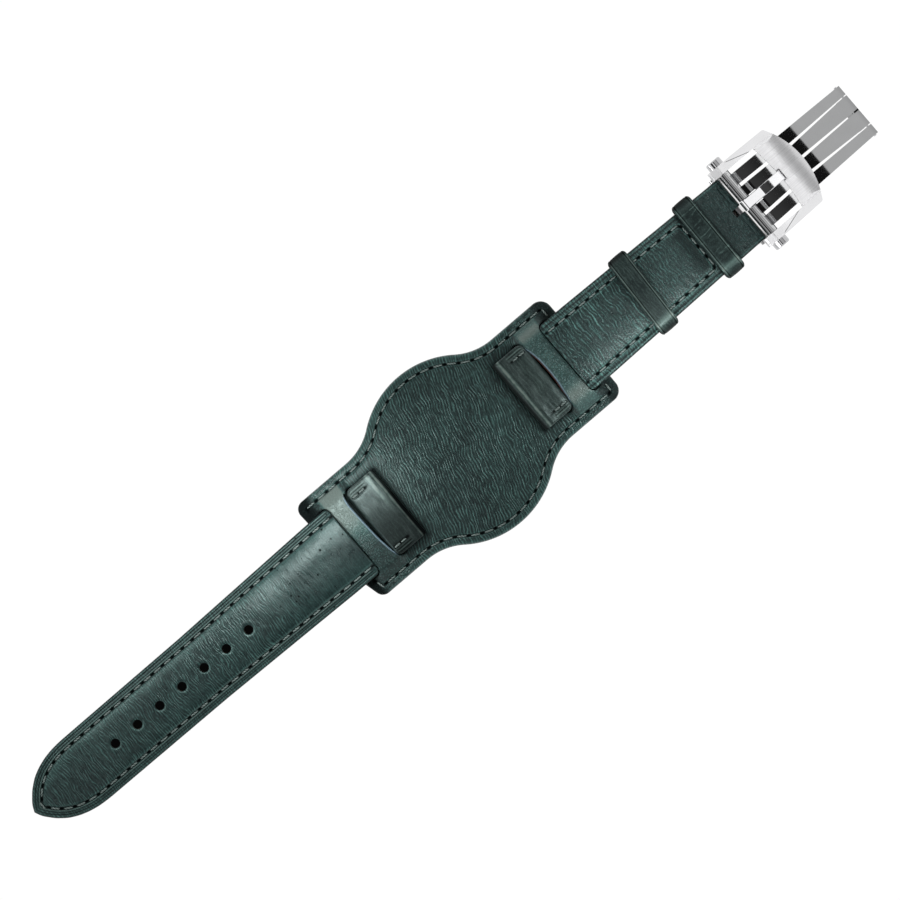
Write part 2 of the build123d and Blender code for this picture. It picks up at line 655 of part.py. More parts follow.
with BuildPart() as tang:
    with BuildSketch(side(TANG_HALF_W)):
        with Locations(AXIS_B):
            Circle(1.5)
        with BuildLine():
            Line(AXIS_B, (AXIS_B[0] - 0.6, AXIS_B[1] + 1.35))
            Polyline((AXIS_B[0] - 0.6, AXIS_B[1] + 1.35), (95.4, 8.12))
            ThreePointArc((95.4, 8.12), (97.0, 8.68), (98.6, 9.0))
            Polyline((98.6, 9.0), (101.1, 9.22), (101.5, 8.85), (101.35, 8.15))
            Spline((101.35, 8.15), (98.8, 7.9), (96.6, 7.3), (94.3, 6.0), (AXIS_B[0] + 1.2, AXIS_B[1] - 0.6),
                   tangents=((-1, 0), (-1, -1.4)))
            Line((AXIS_B[0] + 1.2, AXIS_B[1] - 0.6), AXIS_B)
        make_face()
        with Locations(AXIS_B):
            Circle(PIN_R + RUN, mode=Mode.SUBTRACT)
    extrude(amount=2 * TANG_HALF_W)
    rims = [e for e in tang.edges() if 2.3 < e.length < 6.5 and (e @ 0.5).Z > 6.6 and abs((e @ 0.5).Y) > 1.2]
    if rims:
        chamfer(rims, 0.12)
finish(tang.part, "tang")


def button(sign):
    """Round push button with a short latch nose beside the pivot."""
    with BuildSketch(side(13.2 if sign > 0 else -11.2)) as disc:
        with Locations(AXIS_B):
            Circle(BUTTON_R)
    extrude(disc.sketch, amount=2.0)
    with BuildSketch(side(11.2 if sign > 0 else -10.15)) as nose:
        with Locations((AXIS_B[0] + 1.3, AXIS_B[1])):
            Circle(0.3)
    extrude(nose.sketch, amount=1.05)


with BuildPart() as pusher_left:
    button(1)
    chamfer(pusher_left.edges().group_by(Axis.Y)[-1], 0.25)
finish(pusher_left.part, "pusher_left")
with BuildPart() as pusher_right:
    button(-1)
    chamfer(pusher_right.edges().group_by(Axis.Y)[0], 0.25)
finish(pusher_right.part, "pusher_right")


def disc_spring(sign):
    """Thin dished washer at the bottom of the button's pocket."""
    with BuildSketch(side(10.36 if sign > 0 else -10.22)) as ring:
        with Locations(AXIS_B):
            Circle(0.9)
            Circle(0.8, mode=Mode.SUBTRACT)
    extrude(ring.sketch, amount=0.14)


with BuildPart() as pusher_spring_left:
    disc_spring(1)
finish(pusher_spring_left.part, "pusher_spring_left")
with BuildPart() as pusher_spring_right:
    disc_spring(-1)
finish(pusher_spring_right.part, "pusher_spring_right")
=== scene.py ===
import math

import bmesh
import bpy
import numpy as np
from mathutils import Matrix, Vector, geometry


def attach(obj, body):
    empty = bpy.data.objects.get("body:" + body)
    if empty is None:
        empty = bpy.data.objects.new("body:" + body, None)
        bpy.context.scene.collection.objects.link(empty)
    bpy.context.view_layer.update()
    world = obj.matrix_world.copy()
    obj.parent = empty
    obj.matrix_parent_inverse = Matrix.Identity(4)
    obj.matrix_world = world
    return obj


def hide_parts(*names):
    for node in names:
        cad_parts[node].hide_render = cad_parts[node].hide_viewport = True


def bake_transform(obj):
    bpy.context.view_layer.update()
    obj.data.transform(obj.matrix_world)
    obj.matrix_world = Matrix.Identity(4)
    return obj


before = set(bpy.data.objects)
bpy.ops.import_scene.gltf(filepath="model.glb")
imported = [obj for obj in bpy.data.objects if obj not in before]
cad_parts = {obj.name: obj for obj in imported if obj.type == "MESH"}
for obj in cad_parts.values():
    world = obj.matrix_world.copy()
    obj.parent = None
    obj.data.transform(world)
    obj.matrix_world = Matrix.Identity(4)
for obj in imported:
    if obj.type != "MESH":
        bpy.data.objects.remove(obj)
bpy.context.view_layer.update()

# Sizes below are millimetres in the part's own frame: +X towards the clasp, +Z up, Y across the strap.
MM = 0.001

# ------------------------------------------------------------------ the CAD's driving sizes
PAD_R, PAD_HALF_W, PAD_BLEND_R = 22.75, 15.0, 15.25
PAD_T, LINING_T = 2.4, 1.0
INNER_SLOT, OUTER_SLOT, SLOT_HALF_W = (24.9, 28.3), (33.3, 36.4), 10.4
LONG_TOP = [(33.5, 5.75), (41.0, 5.8), (43.40, 5.37), (54.0, 3.85), (110.0, 3.2), (134.15, 2.1)]
LONG_LOW = [(33.5, 2.42), (39.6, 2.42), (42.72, 1.83), (52.14, 0.02), (134.15, 0.02)]
SHORT_TOP = [(33.5, 5.75), (41.0, 5.8), (43.40, 5.37), (47.6, 4.62), (76.0, 4.2), (82.4, 3.75), (88.05, 2.73),
             (89.3, 2.73)]
SHORT_LOW = [(33.5, 2.42), (39.6, 2.42), (42.72, 1.83), (46.48, 1.12), (82.0, 1.12), (87.6, 0.065), (89.3, 0.065)]
TIP_TABLE = [(119.06, 8.96), (121.46, 8.75), (123.86, 8.27), (126.26, 7.49), (128.66, 6.29), (131.05, 4.38),
             (133.3, 1.75), (134.05, 0.0)]
HOLES = [(-66.5 - 7.0 * i, 0.0) for i in range(7)]
HOLE_R = 1.1
BAR = (88.05, 1.4, 1.25)


# ------------------------------------------------------------------ small maths
def smooth(a, b, x):
    t = np.clip((x - a) / (b - a), 0, 1)
    return t * t * (3 - 2 * t)


def lut(table, x, soften=0.0):
    """Piecewise linear table, with its corners rounded over about `soften` mm."""
    xs, zs = np.array(table, float).T
    if soften <= 0:
        return np.interp(x, xs, zs)
    out = np.zeros_like(x, float)
    offs = np.linspace(-1, 1, 9)
    w = 1 - np.abs(offs) * 0.8
    for o, k in zip(offs, w):
        out += k * np.interp(x + o * soften, xs, zs)
    return out / w.sum()


def vnoise(x, y, seed=0):
    """Smooth value noise in -1..1, one feature per unit."""
    xi, yi = np.floor(x).astype(np.int64), np.floor(y).astype(np.int64)
    fx, fy = x - xi, y - yi
    fx, fy = fx * fx * (3 - 2 * fx), fy * fy * (3 - 2 * fy)

    def h(i, j):
        n = (i * 374761393 + j * 668265263 + seed * 1442695041) & 0xFFFFFFFF
        n = ((n ^ (n >> 13)) * 1274126177) & 0xFFFFFFFF
        return ((n ^ (n >> 16)) & 0xFFFF) / 65535.0

    a = h(xi, yi) * (1 - fx) + h(xi + 1, yi) * fx
    b = h(xi, yi + 1) * (1 - fx) + h(xi + 1, yi + 1) * fx
    return 2 * (a * (1 - fy) + b * fy) - 1


def resample(points, step, closed=True):
    p = np.array(points, float)
    if closed:
        p = np.vstack([p, p[:1]])
    seg = np.linalg.norm(np.diff(p, axis=0), axis=1)
    keep = np.concatenate([[True], seg > 1e-9])
    p = p[keep]
    s = np.concatenate([[0], np.cumsum(np.linalg.norm(np.diff(p, axis=0), axis=1))])
    n = max(3, int(round(s[-1] / step)))
    t = np.linspace(0, s[-1], n + 1)
    q = np.column_stack([np.interp(t, s, p[:, k]) for k in range(p.shape[1])])
    return q[:-1] if closed else q


def normals(loop):
    """Inward unit normals of a counter-clockwise closed loop."""
    t = np.roll(loop, -1, 0) - np.roll(loop, 1, 0)
    t /= np.maximum(np.linalg.norm(t, axis=1), 1e-9)[:, None]
    return np.column_stack([-t[:, 1], t[:, 0]])


def distance(p, loop, closed=True):
    """Distance from each point to the polyline."""
    a = loop
    b = np.roll(loop, -1, 0)
    if not closed:
        a, b = a[:-1], b[:-1]
    d = b - a
    dd = np.maximum((d * d).sum(1), 1e-12)
    out = np.full(len(p), 1e9)
    for i in range(0, len(p), 4000):
        q = p[i:i + 4000, None, :] - a[None]
        t = np.clip((q * d[None]).sum(2) / dd[None], 0, 1)
        r = q - t[..., None] * d[None]
        out[i:i + 4000] = np.sqrt((r * r).sum(2).min(1))
    return out


def inside(p, loop):
    out = np.zeros(len(p), bool)
    a, b = loop, np.roll(loop, -1, 0)
    for i in range(0, len(p), 8000):
        q = p[i:i + 8000]
        cross = (a[None, :, 1] > q[:, None, 1]) != (b[None, :, 1] > q[:, None, 1])
        with np.errstate(divide="ignore", invalid="ignore"):
            x = (b[:, 0] - a[:, 0])[None] * (q[:, None, 1] - a[None, :, 1]) / (b[:, 1] - a[:, 1])[None] + a[None, :, 0]
        out[i:i + 8000] = (cross & (q[:, None, 0] < x)).sum(1) % 2 == 1
    return out


def arc(cx, cy, r, a0, a1, n):
    t = np.radians(np.linspace(a0, a1, n))
    return [(cx + r * math.cos(k), cy + r * math.sin(k)) for k in t]


def edge_round(d, r, depth):
    t = 1 - np.clip(d / r, 0, 1)
    return depth * (1 - np.sqrt(np.maximum(0, 1 - t * t)))


def groove(d, at, width, depth):
    return depth * np.exp(-(((d - at) / width) ** 2))


# ------------------------------------------------------------------ meshes
def make_object(name, verts, faces, mats, slots=None, attrs=None, recalc=True):
    me = bpy.data.meshes.new(name)
    me.from_pydata((np.array(verts, float) * MM).tolist(), [], faces)
    for m in mats:
        me.materials.append(m)
    if slots is not None:
        me.polygons.foreach_set("material_index", np.array(slots, np.int32))
    me.polygons.foreach_set("use_smooth", np.ones(len(me.polygons), bool))
    attrs = dict(attrs or {})
    attrs.setdefault("rest", np.array(verts, float))
    for key in ("dark", "light", "edge", "raw"):
        attrs.setdefault(key, np.zeros(len(verts)))
    for key, value in attrs.items():
        value = np.array(value, np.float32)
        if value.ndim == 1:
            me.attributes.new(key, "FLOAT", "POINT").data.foreach_set("value", value)
        else:
            me.attributes.new(key, "FLOAT_VECTOR", "POINT").data.foreach_set("vector", value.ravel())
    if recalc:
        bm = bmesh.new()
        bm.from_mesh(me)
        bmesh.ops.recalc_face_normals(bm, faces=bm.faces)
        bm.to_mesh(me)
        bm.free()
    me.update()
    ob = bpy.data.objects.new(name, me)
    bpy.context.scene.collection.objects.link(ob)
    return ob


def triangulate(loops, extra):
    """Triangles between the first loop and the others. Returns points, triangles and, for each loop, its points' indices."""
    pts = [Vector(p) for loop in loops for p in loop] + [Vector(p) for p in extra]
    edges, start = [], 0
    for loop in loops:
        n = len(loop)
        edges += [(start + i, start + (i + 1) % n) for i in range(n)]
        start += n
    v, _, f, ov, _, _ = geometry.delaunay_2d_cdt(pts, edges, [], 0, 1e-6)
    p = np.array([[q.x, q.y] for q in v])
    tri = np.array([t for t in f if len(t) == 3])
    c = p[tri].mean(1)
    keep = inside(c, loops[0])
    for hole in loops[1:]:
        keep &= ~inside(c, hole)
    tri = tri[keep]
    where = {}
    for new, olds in enumerate(ov):
        for old in olds:
            where[old] = new
    ids, start = [], 0
    for loop in loops:
        ids.append([where[start + i] for i in range(len(loop))])
        start += len(loop)
    # a sliver between three points of a straight run can lie just outside it
    q = p[tri]
    area = np.abs((q[:, 1, 0] - q[:, 0, 0]) * (q[:, 2, 1] - q[:, 0, 1]) - (q[:, 1, 1] - q[:, 0, 1]) * (q[:, 2, 0] - q[:, 0, 0]))
    sides = {}
    for k, t in enumerate(tri):
        for i in range(3):
            sides.setdefault(frozenset((int(t[i]), int(t[(i + 1) % 3]))), []).append(k)
    keep = np.ones(len(tri), bool)
    for loop in ids:
        for i, j in zip(loop, loop[1:] + loop[:1]):
            both = sides.get(frozenset((i, j)), [])
            if len(both) > 1:
                keep[min(both, key=lambda k: area[k])] = False
    tri = tri[keep]
    used = np.zeros(len(p), bool)
    used[tri.ravel()] = True
    for i in ids:
        used[i] = True
    new = np.cumsum(used) - 1
    return p[used], new[tri], [[int(new[i]) for i in loop] for loop in ids]


def ring_points(loop, dists, outward=False, keep=0.94):
    n = normals(loop) * (-1 if outward else 1)
    out = []
    for r in dists:
        q = loop + n * r
        ok = distance(q, loop) >= keep * r
        ok &= inside(q, loop) if not outward else ~inside(q, loop)
        q = q[ok]
        # thin out points that crowd together on the inside of a curve
        if len(q):
            gap = np.linalg.norm(np.diff(q, axis=0, prepend=q[-1:]), axis=1)
            q = q[gap > 0.06]
        out.append(q)
    return out


def lattice(loop, step):
    lo, hi = loop.min(0), loop.max(0)
    ys = np.arange(lo[1], hi[1], step * 0.866)
    out = []
    for k, y in enumerate(ys):
        x = np.arange(lo[0] + (k % 2) * step / 2, hi[0], step)
        out.append(np.column_stack([x, np.full_like(x, y)]))
    return np.vstack(out)


def plate(name, outline, holes, top, bottom, marks, mats, step=0.32, rings=(), hole_rings=(0.12, 0.3), boxes=(),
          bulge=0.1, rows=8, low_step=1.0, edge_dark=0.5, hole_lean=None):
    """A closed sheet of leather: fine top, coarser underside, and a rounded edge of two glued layers round each loop.
    top(p, d, h) and bottom(p) give heights; marks(p, d, h) gives the dark and light attributes of the top.
    d is the distance from the outline, and h the distance from the nearest hole."""
    loops = [outline] + list(holes)

    def fields(p):
        d = distance(p, outline)
        h = np.full(len(p), 99.0)
        for hole in holes:
            h = np.minimum(h, distance(p, hole))
        return d, h

    extra = ring_points(outline, rings)
    last = max(rings) if len(rings) else 0.2
    for hole in holes:
        extra += ring_points(hole, hole_rings, outward=True)
    extra = np.vstack(extra)
    d, h = fields(extra)
    near = h > 0.06
    for hole in holes:
        near &= ~inside(extra, hole)
    near &= inside(extra, outline)
    extra = extra[near]
    grid = lattice(outline, step)
    rng = np.random.default_rng(7)
    grid = grid + rng.uniform(-0.12, 0.12, grid.shape) * step
    for x0, x1, y0, y1, s in boxes:
        sub = lattice(np.array([(x0, y0), (x1, y0), (x1, y1), (x0, y1)], float), s)
        grid = grid[~((grid[:, 0] > x0) & (grid[:, 0] < x1) & (grid[:, 1] > y0) & (grid[:, 1] < y1))]
        grid = np.vstack([grid, sub])
    ok = inside(grid, outline)
    for hole in holes:
        ok &= ~inside(grid, hole)
    grid = grid[ok]
    d, h = fields(grid)
    grid = grid[(d > last + 0.4 * step) & (h > max(hole_rings) + 0.4 * step)]
    pt, tt, lt = triangulate(loops, np.vstack([extra, grid]))
    d, h = fields(pt)
    zt = top(pt, d, h)
    dark, light = marks(pt, d, h)
    grid = lattice(outline, low_step)
    ok = inside(grid, outline)
    for hole in holes:
        ok &= ~inside(grid, hole)
    grid = grid[ok]
    d, h = fields(grid)
    grid = grid[(d > 0.5 * low_step) & (h > 0.5 * low_step)]
    pb, tb, lb = triangulate(loops, grid)
    zb = bottom(pb)
    verts = [np.column_stack([pt, zt]), np.column_stack([pb, zb])]
    n_top = len(pt)
    faces = [tuple(map(int, t)) for t in tt]
    slots = [0] * len(tt)
    faces += [tuple(int(n_top + i) for i in t[::-1]) for t in tb]
    slots += [1] * len(tb)
    darks = [dark, np.zeros(len(pb))]
    lights = [light, np.zeros(len(pb))]
    raws = [np.zeros(len(pt)), np.zeros(len(pb))]
    count = n_top + len(pb)
    for k, (a, b) in enumerate(zip(lt, lb)):
        loop = loops[k]
        out = -normals(loop) * (1 if k == 0 else -1)
        if k and np.mean(inside(loop + out * 0.01, loop)) < 0.5:
            out = -out          # holes bulge into the hole
        za, zb_ = zt[a], zb[b]
        previous = a
        for r in range(1, rows + 1):
            t = r / rows
            if r < rows:
                s = abs(math.sin(2 * math.pi * t)) if rows > 4 else math.sin(math.pi * t)
                xy = loop + out * (bulge if k == 0 else bulge * 0.4) * s
                z = za * (1 - t) + zb_ * t
                raw = np.zeros(len(loop))
                if k and hole_lean is not None:
                    lean, bare = hole_lean(loop)
                    xy = xy + out * (lean * math.sin(math.pi * min(1.0, 1.6 * t)) if t < 0.62 else 0 * lean)[:, None]
                    raw = bare * (1.0 if t < 0.6 else 0.0)
                raws.append(raw)
                verts.append(np.column_stack([xy, z]))
                darks.append((np.full(len(loop), edge_dark) + 0.3 * (abs(t - 0.5) < 0.05)) * (1 - raw))
                lights.append(np.zeros(len(loop)))
                row = list(range(count, count + len(loop)))
                count += len(loop)
            else:
                row = [n_top + i for i in b]
            n = len(loop)
            for i in range(n):
                j = (i + 1) % n
                faces.append((previous[i], row[i], row[j], previous[j]))
                slots.append(0 if t <= 0.62 else 1)
            previous = row
    verts = np.vstack(verts)
    return make_object(name, verts, faces, mats, slots,
                       {"dark": np.concatenate(darks), "light": np.concatenate(lights), "raw": np.concatenate(raws)})


def stitches(name, spots, mat, r=0.25, length=2.3, rise=0.0, ply=2):
    """Sewn thread: each spot is (x, y, z, direction in radians, slope dz/ds). Both ends of a stitch dive into its holes."""
    verts, faces, attr = [], [], []
    ns, nc = 13, 12
    for k, (x, y, z, a, slope, scale) in enumerate(spots):
        base = len(verts)
        ca, sa = math.cos(a), math.sin(a)
        L = length * scale
        for i in range(ns):
            t = i / (ns - 1) * 2 - 1
            s = t * L / 2
            end = abs(t) ** 6
            drop = -0.42 * end + rise
            swell = (1 - 0.35 * abs(t) ** 3)
            for j in range(nc):
                th = 2 * math.pi * j / nc
                lobes = 1 + 0.16 * math.cos(ply * (th - 2 * math.pi * s / 1.5 + k * 0.9))
                ry, rz = r * swell * lobes * 1.1, r * swell * lobes * 0.8
                off, up = ry * math.cos(th), rz * math.sin(th)
                verts.append((x + s * ca - off * sa, y + s * sa + off * ca, z + s * slope + drop + up))
                # the light attribute is highest where each ply bulges out: it paints a highlight on the strands' crowns
                attr.append(0.5 + 0.5 * math.cos(ply * (th - 2 * math.pi * s / 1.5 + k * 0.9)))
        for i in range(ns - 1):
            for j in range(nc):
                j2 = (j + 1) % nc
                faces.append((base + i * nc + j, base + i * nc + j2, base + (i + 1) * nc + j2, base + (i + 1) * nc + j))
        faces.append(tuple(base + j for j in range(nc))[::-1])
        faces.append(tuple(base + (ns - 1) * nc + j for j in range(nc)))
    return make_object(name, np.array(verts), faces, [mat], None, {"light": np.array(attr)})


# ------------------------------------------------------------------ materials
def srgb(r, g, b, a=1.0):
    return tuple((c / 255 / 12.92 if c <= 10 else ((c / 255 + 0.055) / 1.055) ** 2.4) for c in (r, g, b)) + (a,)


class Nodes:
    def __init__(self, name):
        self.mat = bpy.data.materials.new(name)
        self.mat.use_nodes = True
        self.tree = self.mat.node_tree
        self.bsdf = self.tree.nodes["Principled BSDF"]

    def new(self, kind, inputs=None, **props):
        n = self.tree.nodes.new(kind)
        for k, v in props.items():
            setattr(n, k, v)
        for k, v in (inputs or {}).items():
            self.put(n.inputs[k], v)
        return n

    def put(self, socket, value):
        if isinstance(value, bpy.types.NodeSocket):
            self.tree.links.new(value, socket)
        else:
            socket.default_value = value

    def math(self, op, a, b=0.0, clamp=False):
        n = self.new("ShaderNodeMath", operation=op, use_clamp=clamp)
        self.put(n.inputs[0], a)
        self.put(n.inputs[1], b)
        return n.outputs[0]

    def vmath(self, op, a, b=(0, 0, 0)):
        n = self.new("ShaderNodeVectorMath", operation=op)
        self.put(n.inputs[0], a)
        if op == "SCALE":
            self.put(n.inputs["Scale"], b)
        else:
            self.put(n.inputs[1], b)
        return n.outputs[0]

    def ramp(self, value, low, high, out_low=0.0, out_high=1.0):
        n = self.new("ShaderNodeMapRange", interpolation_type="SMOOTHSTEP")
        for k, v in zip(("Value", "From Min", "From Max", "To Min", "To Max"), (value, low, high, out_low, out_high)):
            self.put(n.inputs[k], v)
        return n.outputs[0]

    def mix(self, factor, a, b, blend="MIX"):
        n = self.new("ShaderNodeMix", data_type="RGBA", blend_type=blend)
        self.put(n.inputs[0], factor)
        self.put(n.inputs[6], a)
        self.put(n.inputs[7], b)
        return n.outputs[2]

    def noise(self, vector, scale, detail=2.0, rough=0.5, distortion=0.0):
        n = self.new("ShaderNodeTexNoise", {"Vector": vector, "Scale": scale, "Detail": detail, "Roughness": rough,
                                            "Distortion": distortion})
        return n.outputs["Fac"] if "Fac" in n.outputs else n.outputs[0]

    def voronoi(self, vector, scale, feature="F1", output="Distance", randomness=1.0):
        n = self.new("ShaderNodeTexVoronoi", {"Vector": vector, "Scale": scale, "Randomness": randomness},
                     feature=feature)
        return n.outputs[output]

    def attribute(self, name, vector=False):
        n = self.new("ShaderNodeAttribute", attribute_type="GEOMETRY", attribute_name=name)
        return n.outputs["Vector" if vector else "Fac"]


def leather(name, base, tint, wrinkle=0.6, gap=0.75, reach=2.4, slant=0.0, wander=2.5, waver=1.5, broken=(0.34, 0.56), vein=0.0,
            vein_zone=None, line_zone=None, pores=0.0, grain=0.3, grain_size=0.5, pebble_zone=None, rough=0.32,
            bump=1.0, patchy=0.3, gloss=0.7):
    """Grained leather. wrinkle: pale lines, gap mm apart, that keep on for about reach mm; wander and waver: how far
    they stray, in mm, over a long and a short way; broken: how often
    they fade out; vein: a few longer pale lines, only where |X| is below vein_zone; line_zone: |X| where the wrinkles
    start and are full; pores: how black the scattered pores are; pebble_zone: |X| from where the grain is coarse."""
    n = Nodes(name)
    rest = n.attribute("rest", True)
    dark = n.attribute("dark")
    light = n.attribute("light")
    turned = n.new("ShaderNodeVectorRotate", {"Vector": rest, "Angle": slant}, rotation_type="Z_AXIS").outputs[0]
    tx = n.new("ShaderNodeSeparateXYZ", {"Vector": turned}).outputs[0]
    ax = n.math("ABSOLUTE", n.new("ShaderNodeSeparateXYZ", {"Vector": rest}).outputs[0])
    bend = n.math("SUBTRACT", n.noise(n.vmath("MULTIPLY", turned, (0.13, 0.17, 0.0)), 1.0, 1.0), 0.5)
    stray = n.math("SUBTRACT", n.noise(n.vmath("MULTIPLY", turned, (0.75, 0.9 / reach, 0.0)), 1.0, 2.0, 0.55), 0.5)
    along = n.math("ADD", tx, n.math("ADD", n.math("MULTIPLY", bend, wander), n.math("MULTIPLY", stray, waver)))

    def ridges(spacing, fade, thin=0.48):
        phase = n.math("FRACT", n.math("MULTIPLY", along, 1 / spacing))
        t = n.math("MULTIPLY", n.math("ABSOLUTE", n.math("SUBTRACT", phase, 0.5)), 2.0)
        return n.math("MULTIPLY", n.ramp(t, thin, 0.97), fade), n.math("MULTIPLY", n.ramp(t, 0.42, 0.0), fade)

    fade = n.ramp(n.noise(n.vmath("MULTIPLY", turned, (1.1, 1.2 / reach, 0.0)), 1.0, 2.0, 0.6), *broken, 0.06, 1.0)
    lines, troughs = ridges(gap, fade)
    patch = n.ramp(n.noise(rest, 0.35, 2.0), 0.32, 0.6, 0.55, 1.0)
    if line_zone:
        patch = n.math("MULTIPLY", patch, n.ramp(ax, *line_zone, 0.22, 1.0))
    lines = n.math("MULTIPLY", lines, patch)
    troughs = n.math("MULTIPLY", troughs, patch)
    cells = n.voronoi(n.vmath("MULTIPLY", rest, (1.15 / grain_size, 0.8 / grain_size, 0.0)), 1.0, "DISTANCE_TO_EDGE")
    net = n.ramp(cells, 0.20, 0.03)
    if pebble_zone:
        coarse = n.ramp(ax, *pebble_zone)
        lines = n.math("MULTIPLY", lines, n.math("SUBTRACT", 1.0, coarse))
        troughs = n.math("MULTIPLY", troughs, n.math("SUBTRACT", 1.0, coarse))
        net = n.math("MULTIPLY", net, n.math("SUBTRACT", 1.0, n.math("MULTIPLY", coarse, 0.8)))
    big = n.noise(rest, 0.13, 2.0, 0.5)
    mid = n.noise(n.vmath("MULTIPLY", turned, (1.0, 0.5, 0.0)), 0.9, 2.0, 0.6)
    tone = n.math("MULTIPLY", n.math("ADD", n.math("SUBTRACT", big, 0.5), n.math("SUBTRACT", mid, 0.5)), patchy)
    paler = n.math("SUBTRACT", n.math("MULTIPLY", lines, wrinkle * 0.75), n.math("MULTIPLY", net, grain * 0.35))
    if pebble_zone:
        strewn = n.vmath("ADD", rest, n.vmath("SCALE", n.new("ShaderNodeTexNoise", {"Vector": rest, "Scale": 1.3}).outputs["Color"], 0.6))
        lump = n.ramp(n.voronoi(n.vmath("MULTIPLY", strewn, (1.35, 1.75, 0.0)), 1.0, "DISTANCE_TO_EDGE"), 0.02, 0.28)
        lump = n.math("MULTIPLY", n.math("SUBTRACT", lump, 0.5), coarse)
        paler = n.math("ADD", paler, n.math("MULTIPLY", lump, 0.34))
    deeper = n.math("MULTIPLY", troughs, wrinkle * 0.55)
    height = n.math("SUBTRACT", n.math("MULTIPLY", lines, wrinkle), n.math("MULTIPLY", net, 0.8 * grain))
    if pebble_zone:
        height = n.math("ADD", height, n.math("MULTIPLY", lump, 1.5))
    if vein:
        few = n.ramp(n.noise(n.vmath("MULTIPLY", turned, (0.8, 0.12, 0.0)), 1.0, 1.0), 0.50, 0.64)
        if vein_zone:
            few = n.math("MULTIPLY", few, n.ramp(ax, vein_zone - 4, vein_zone + 4, 1.0, 0.3))
        if pebble_zone:
            few = n.math("MULTIPLY", few, n.math("SUBTRACT", 1.0, coarse))
        web, _ = ridges(gap * 1.7, few, 0.72)
        paler = n.math("ADD", paler, n.math("MULTIPLY", web, vein))
        height = n.math("ADD", height, n.math("MULTIPLY", web, vein * 0.5))
    # the light attribute paints pale creases and lines, and also painted highlights, into the colour
    paler = n.math("ADD", n.math("ADD", paler, tone), n.math("MULTIPLY", light, 0.85))
    colour = n.mix(n.math("ADD", paler, 0.10, clamp=True), base, tint)
    # the palest places turn to a warm grey: a painted highlight, the sheen on the bridges, the fold ridges and the
    # keepers' edges
    colour = n.mix(n.ramp(light, 0.4, 0.95, 0.0, 0.85), colour, srgb(106, 115, 110))
    black = dark
    if pores:
        spots = n.new("ShaderNodeTexVoronoi", {"Vector": rest, "Scale": 0.62}, feature="F1")
        chosen = n.ramp(n.new("ShaderNodeSeparateColor", {"Color": spots.outputs["Color"]}).outputs[0], 0.52, 0.56)
        chosen = n.math("MULTIPLY", chosen, n.ramp(ax, 66.0, 50.0, 0.2, 1.0))
        spot = n.math("MULTIPLY", n.ramp(spots.outputs["Distance"], 0.2, 0.12), n.math("MULTIPLY", chosen, pores))
        black = n.math("MAXIMUM", dark, spot)
    # the wrinkles' troughs are darkened towards black, a painted shade in the creases; the dark attribute, mostly
    # painted shade in holes, seams and hollows, goes black here too
    black = n.math("MAXIMUM", black, n.math("MULTIPLY", deeper, n.math("SUBTRACT", 1.0, light, clamp=True)))
    colour = n.mix(n.math("MULTIPLY", black, 1.0, clamp=True), colour, (0.0012, 0.0018, 0.002, 1))
    colour = n.mix(n.attribute("raw"), colour, srgb(120, 60, 46))
    colour = n.mix(n.attribute("edge"), colour, srgb(150, 178, 196))
    n.put(n.bsdf.inputs["Base Color"], colour)
    fine = n.noise(rest, 6.0, 1.0, 0.6)
    height = n.math("ADD", height, n.math("MULTIPLY", mid, 0.7))
    height = n.math("ADD", height, n.math("MULTIPLY", fine, 0.1))
    b = n.new("ShaderNodeBump", {"Strength": 1.0, "Distance": 0.00005 * bump, "Height": height})
    n.put(n.bsdf.inputs["Normal"], b.outputs[0])
    r = n.math("ADD", n.math("MULTIPLY", n.math("SUBTRACT", mid, 0.5), 0.16), rough)
    r = n.math("ADD", r, n.math("MULTIPLY", black, 0.4), clamp=True)
    n.put(n.bsdf.inputs["Roughness"], r)
    n.put(n.bsdf.inputs["Specular IOR Level"], n.math("SUBTRACT", gloss, n.math("MULTIPLY", black, gloss * 0.93), clamp=True))
    n.bsdf.inputs["Specular Tint"].default_value = (0.78, 1.0, 0.97, 1)
    n.mat.diffuse_color = base
    return n.mat


def suede(name, base, tint):
    """Lining leather, its napped side out."""
    n = Nodes(name)
    rest = n.attribute("rest", True)
    nap = n.noise(rest, 3.2, 4.0, 0.7)
    wide = n.noise(rest, 0.22, 3.0, 0.6)
    pits = n.voronoi(rest, 1.9, "F1")
    f = n.math("ADD", n.math("MULTIPLY", nap, 0.7), n.math("MULTIPLY", wide, 0.6))
    n.put(n.bsdf.inputs["Base Color"], n.mix(n.ramp(f, 0.35, 0.95), base, tint))
    h = n.math("ADD", nap, n.math("MULTIPLY", pits, -0.5))
    b = n.new("ShaderNodeBump", {"Strength": 0.9, "Distance": 0.0001, "Height": h})
    n.put(n.bsdf.inputs["Normal"], b.outputs[0])
    n.put(n.bsdf.inputs["Roughness"], n.ramp(nap, 0.2, 0.8, 0.72, 0.9))
    n.mat.diffuse_color = base
    return n.mat


def thread_material():
    n = Nodes("thread")
    rest = n.attribute("rest", True)
    ply = n.attribute("light")
    fibre = n.noise(rest, 9.0, 2.0, 0.6)
    # the ply attribute makes each strand's bulging crown paler: a painted highlight
    f = n.math("ADD", n.math("MULTIPLY", ply, 0.75), n.math("MULTIPLY", n.math("SUBTRACT", fibre, 0.5), 0.5), clamp=True)
    n.put(n.bsdf.inputs["Base Color"], n.mix(f, srgb(58, 74, 73), srgb(160, 176, 171)))
    b = n.new("ShaderNodeBump", {"Strength": 0.5, "Distance": 0.00005, "Height": fibre})
    n.put(n.bsdf.inputs["Normal"], b.outputs[0])
    n.put(n.bsdf.inputs["Roughness"], n.ramp(fibre, 0.3, 0.7, 0.5, 0.65))
    return n.mat


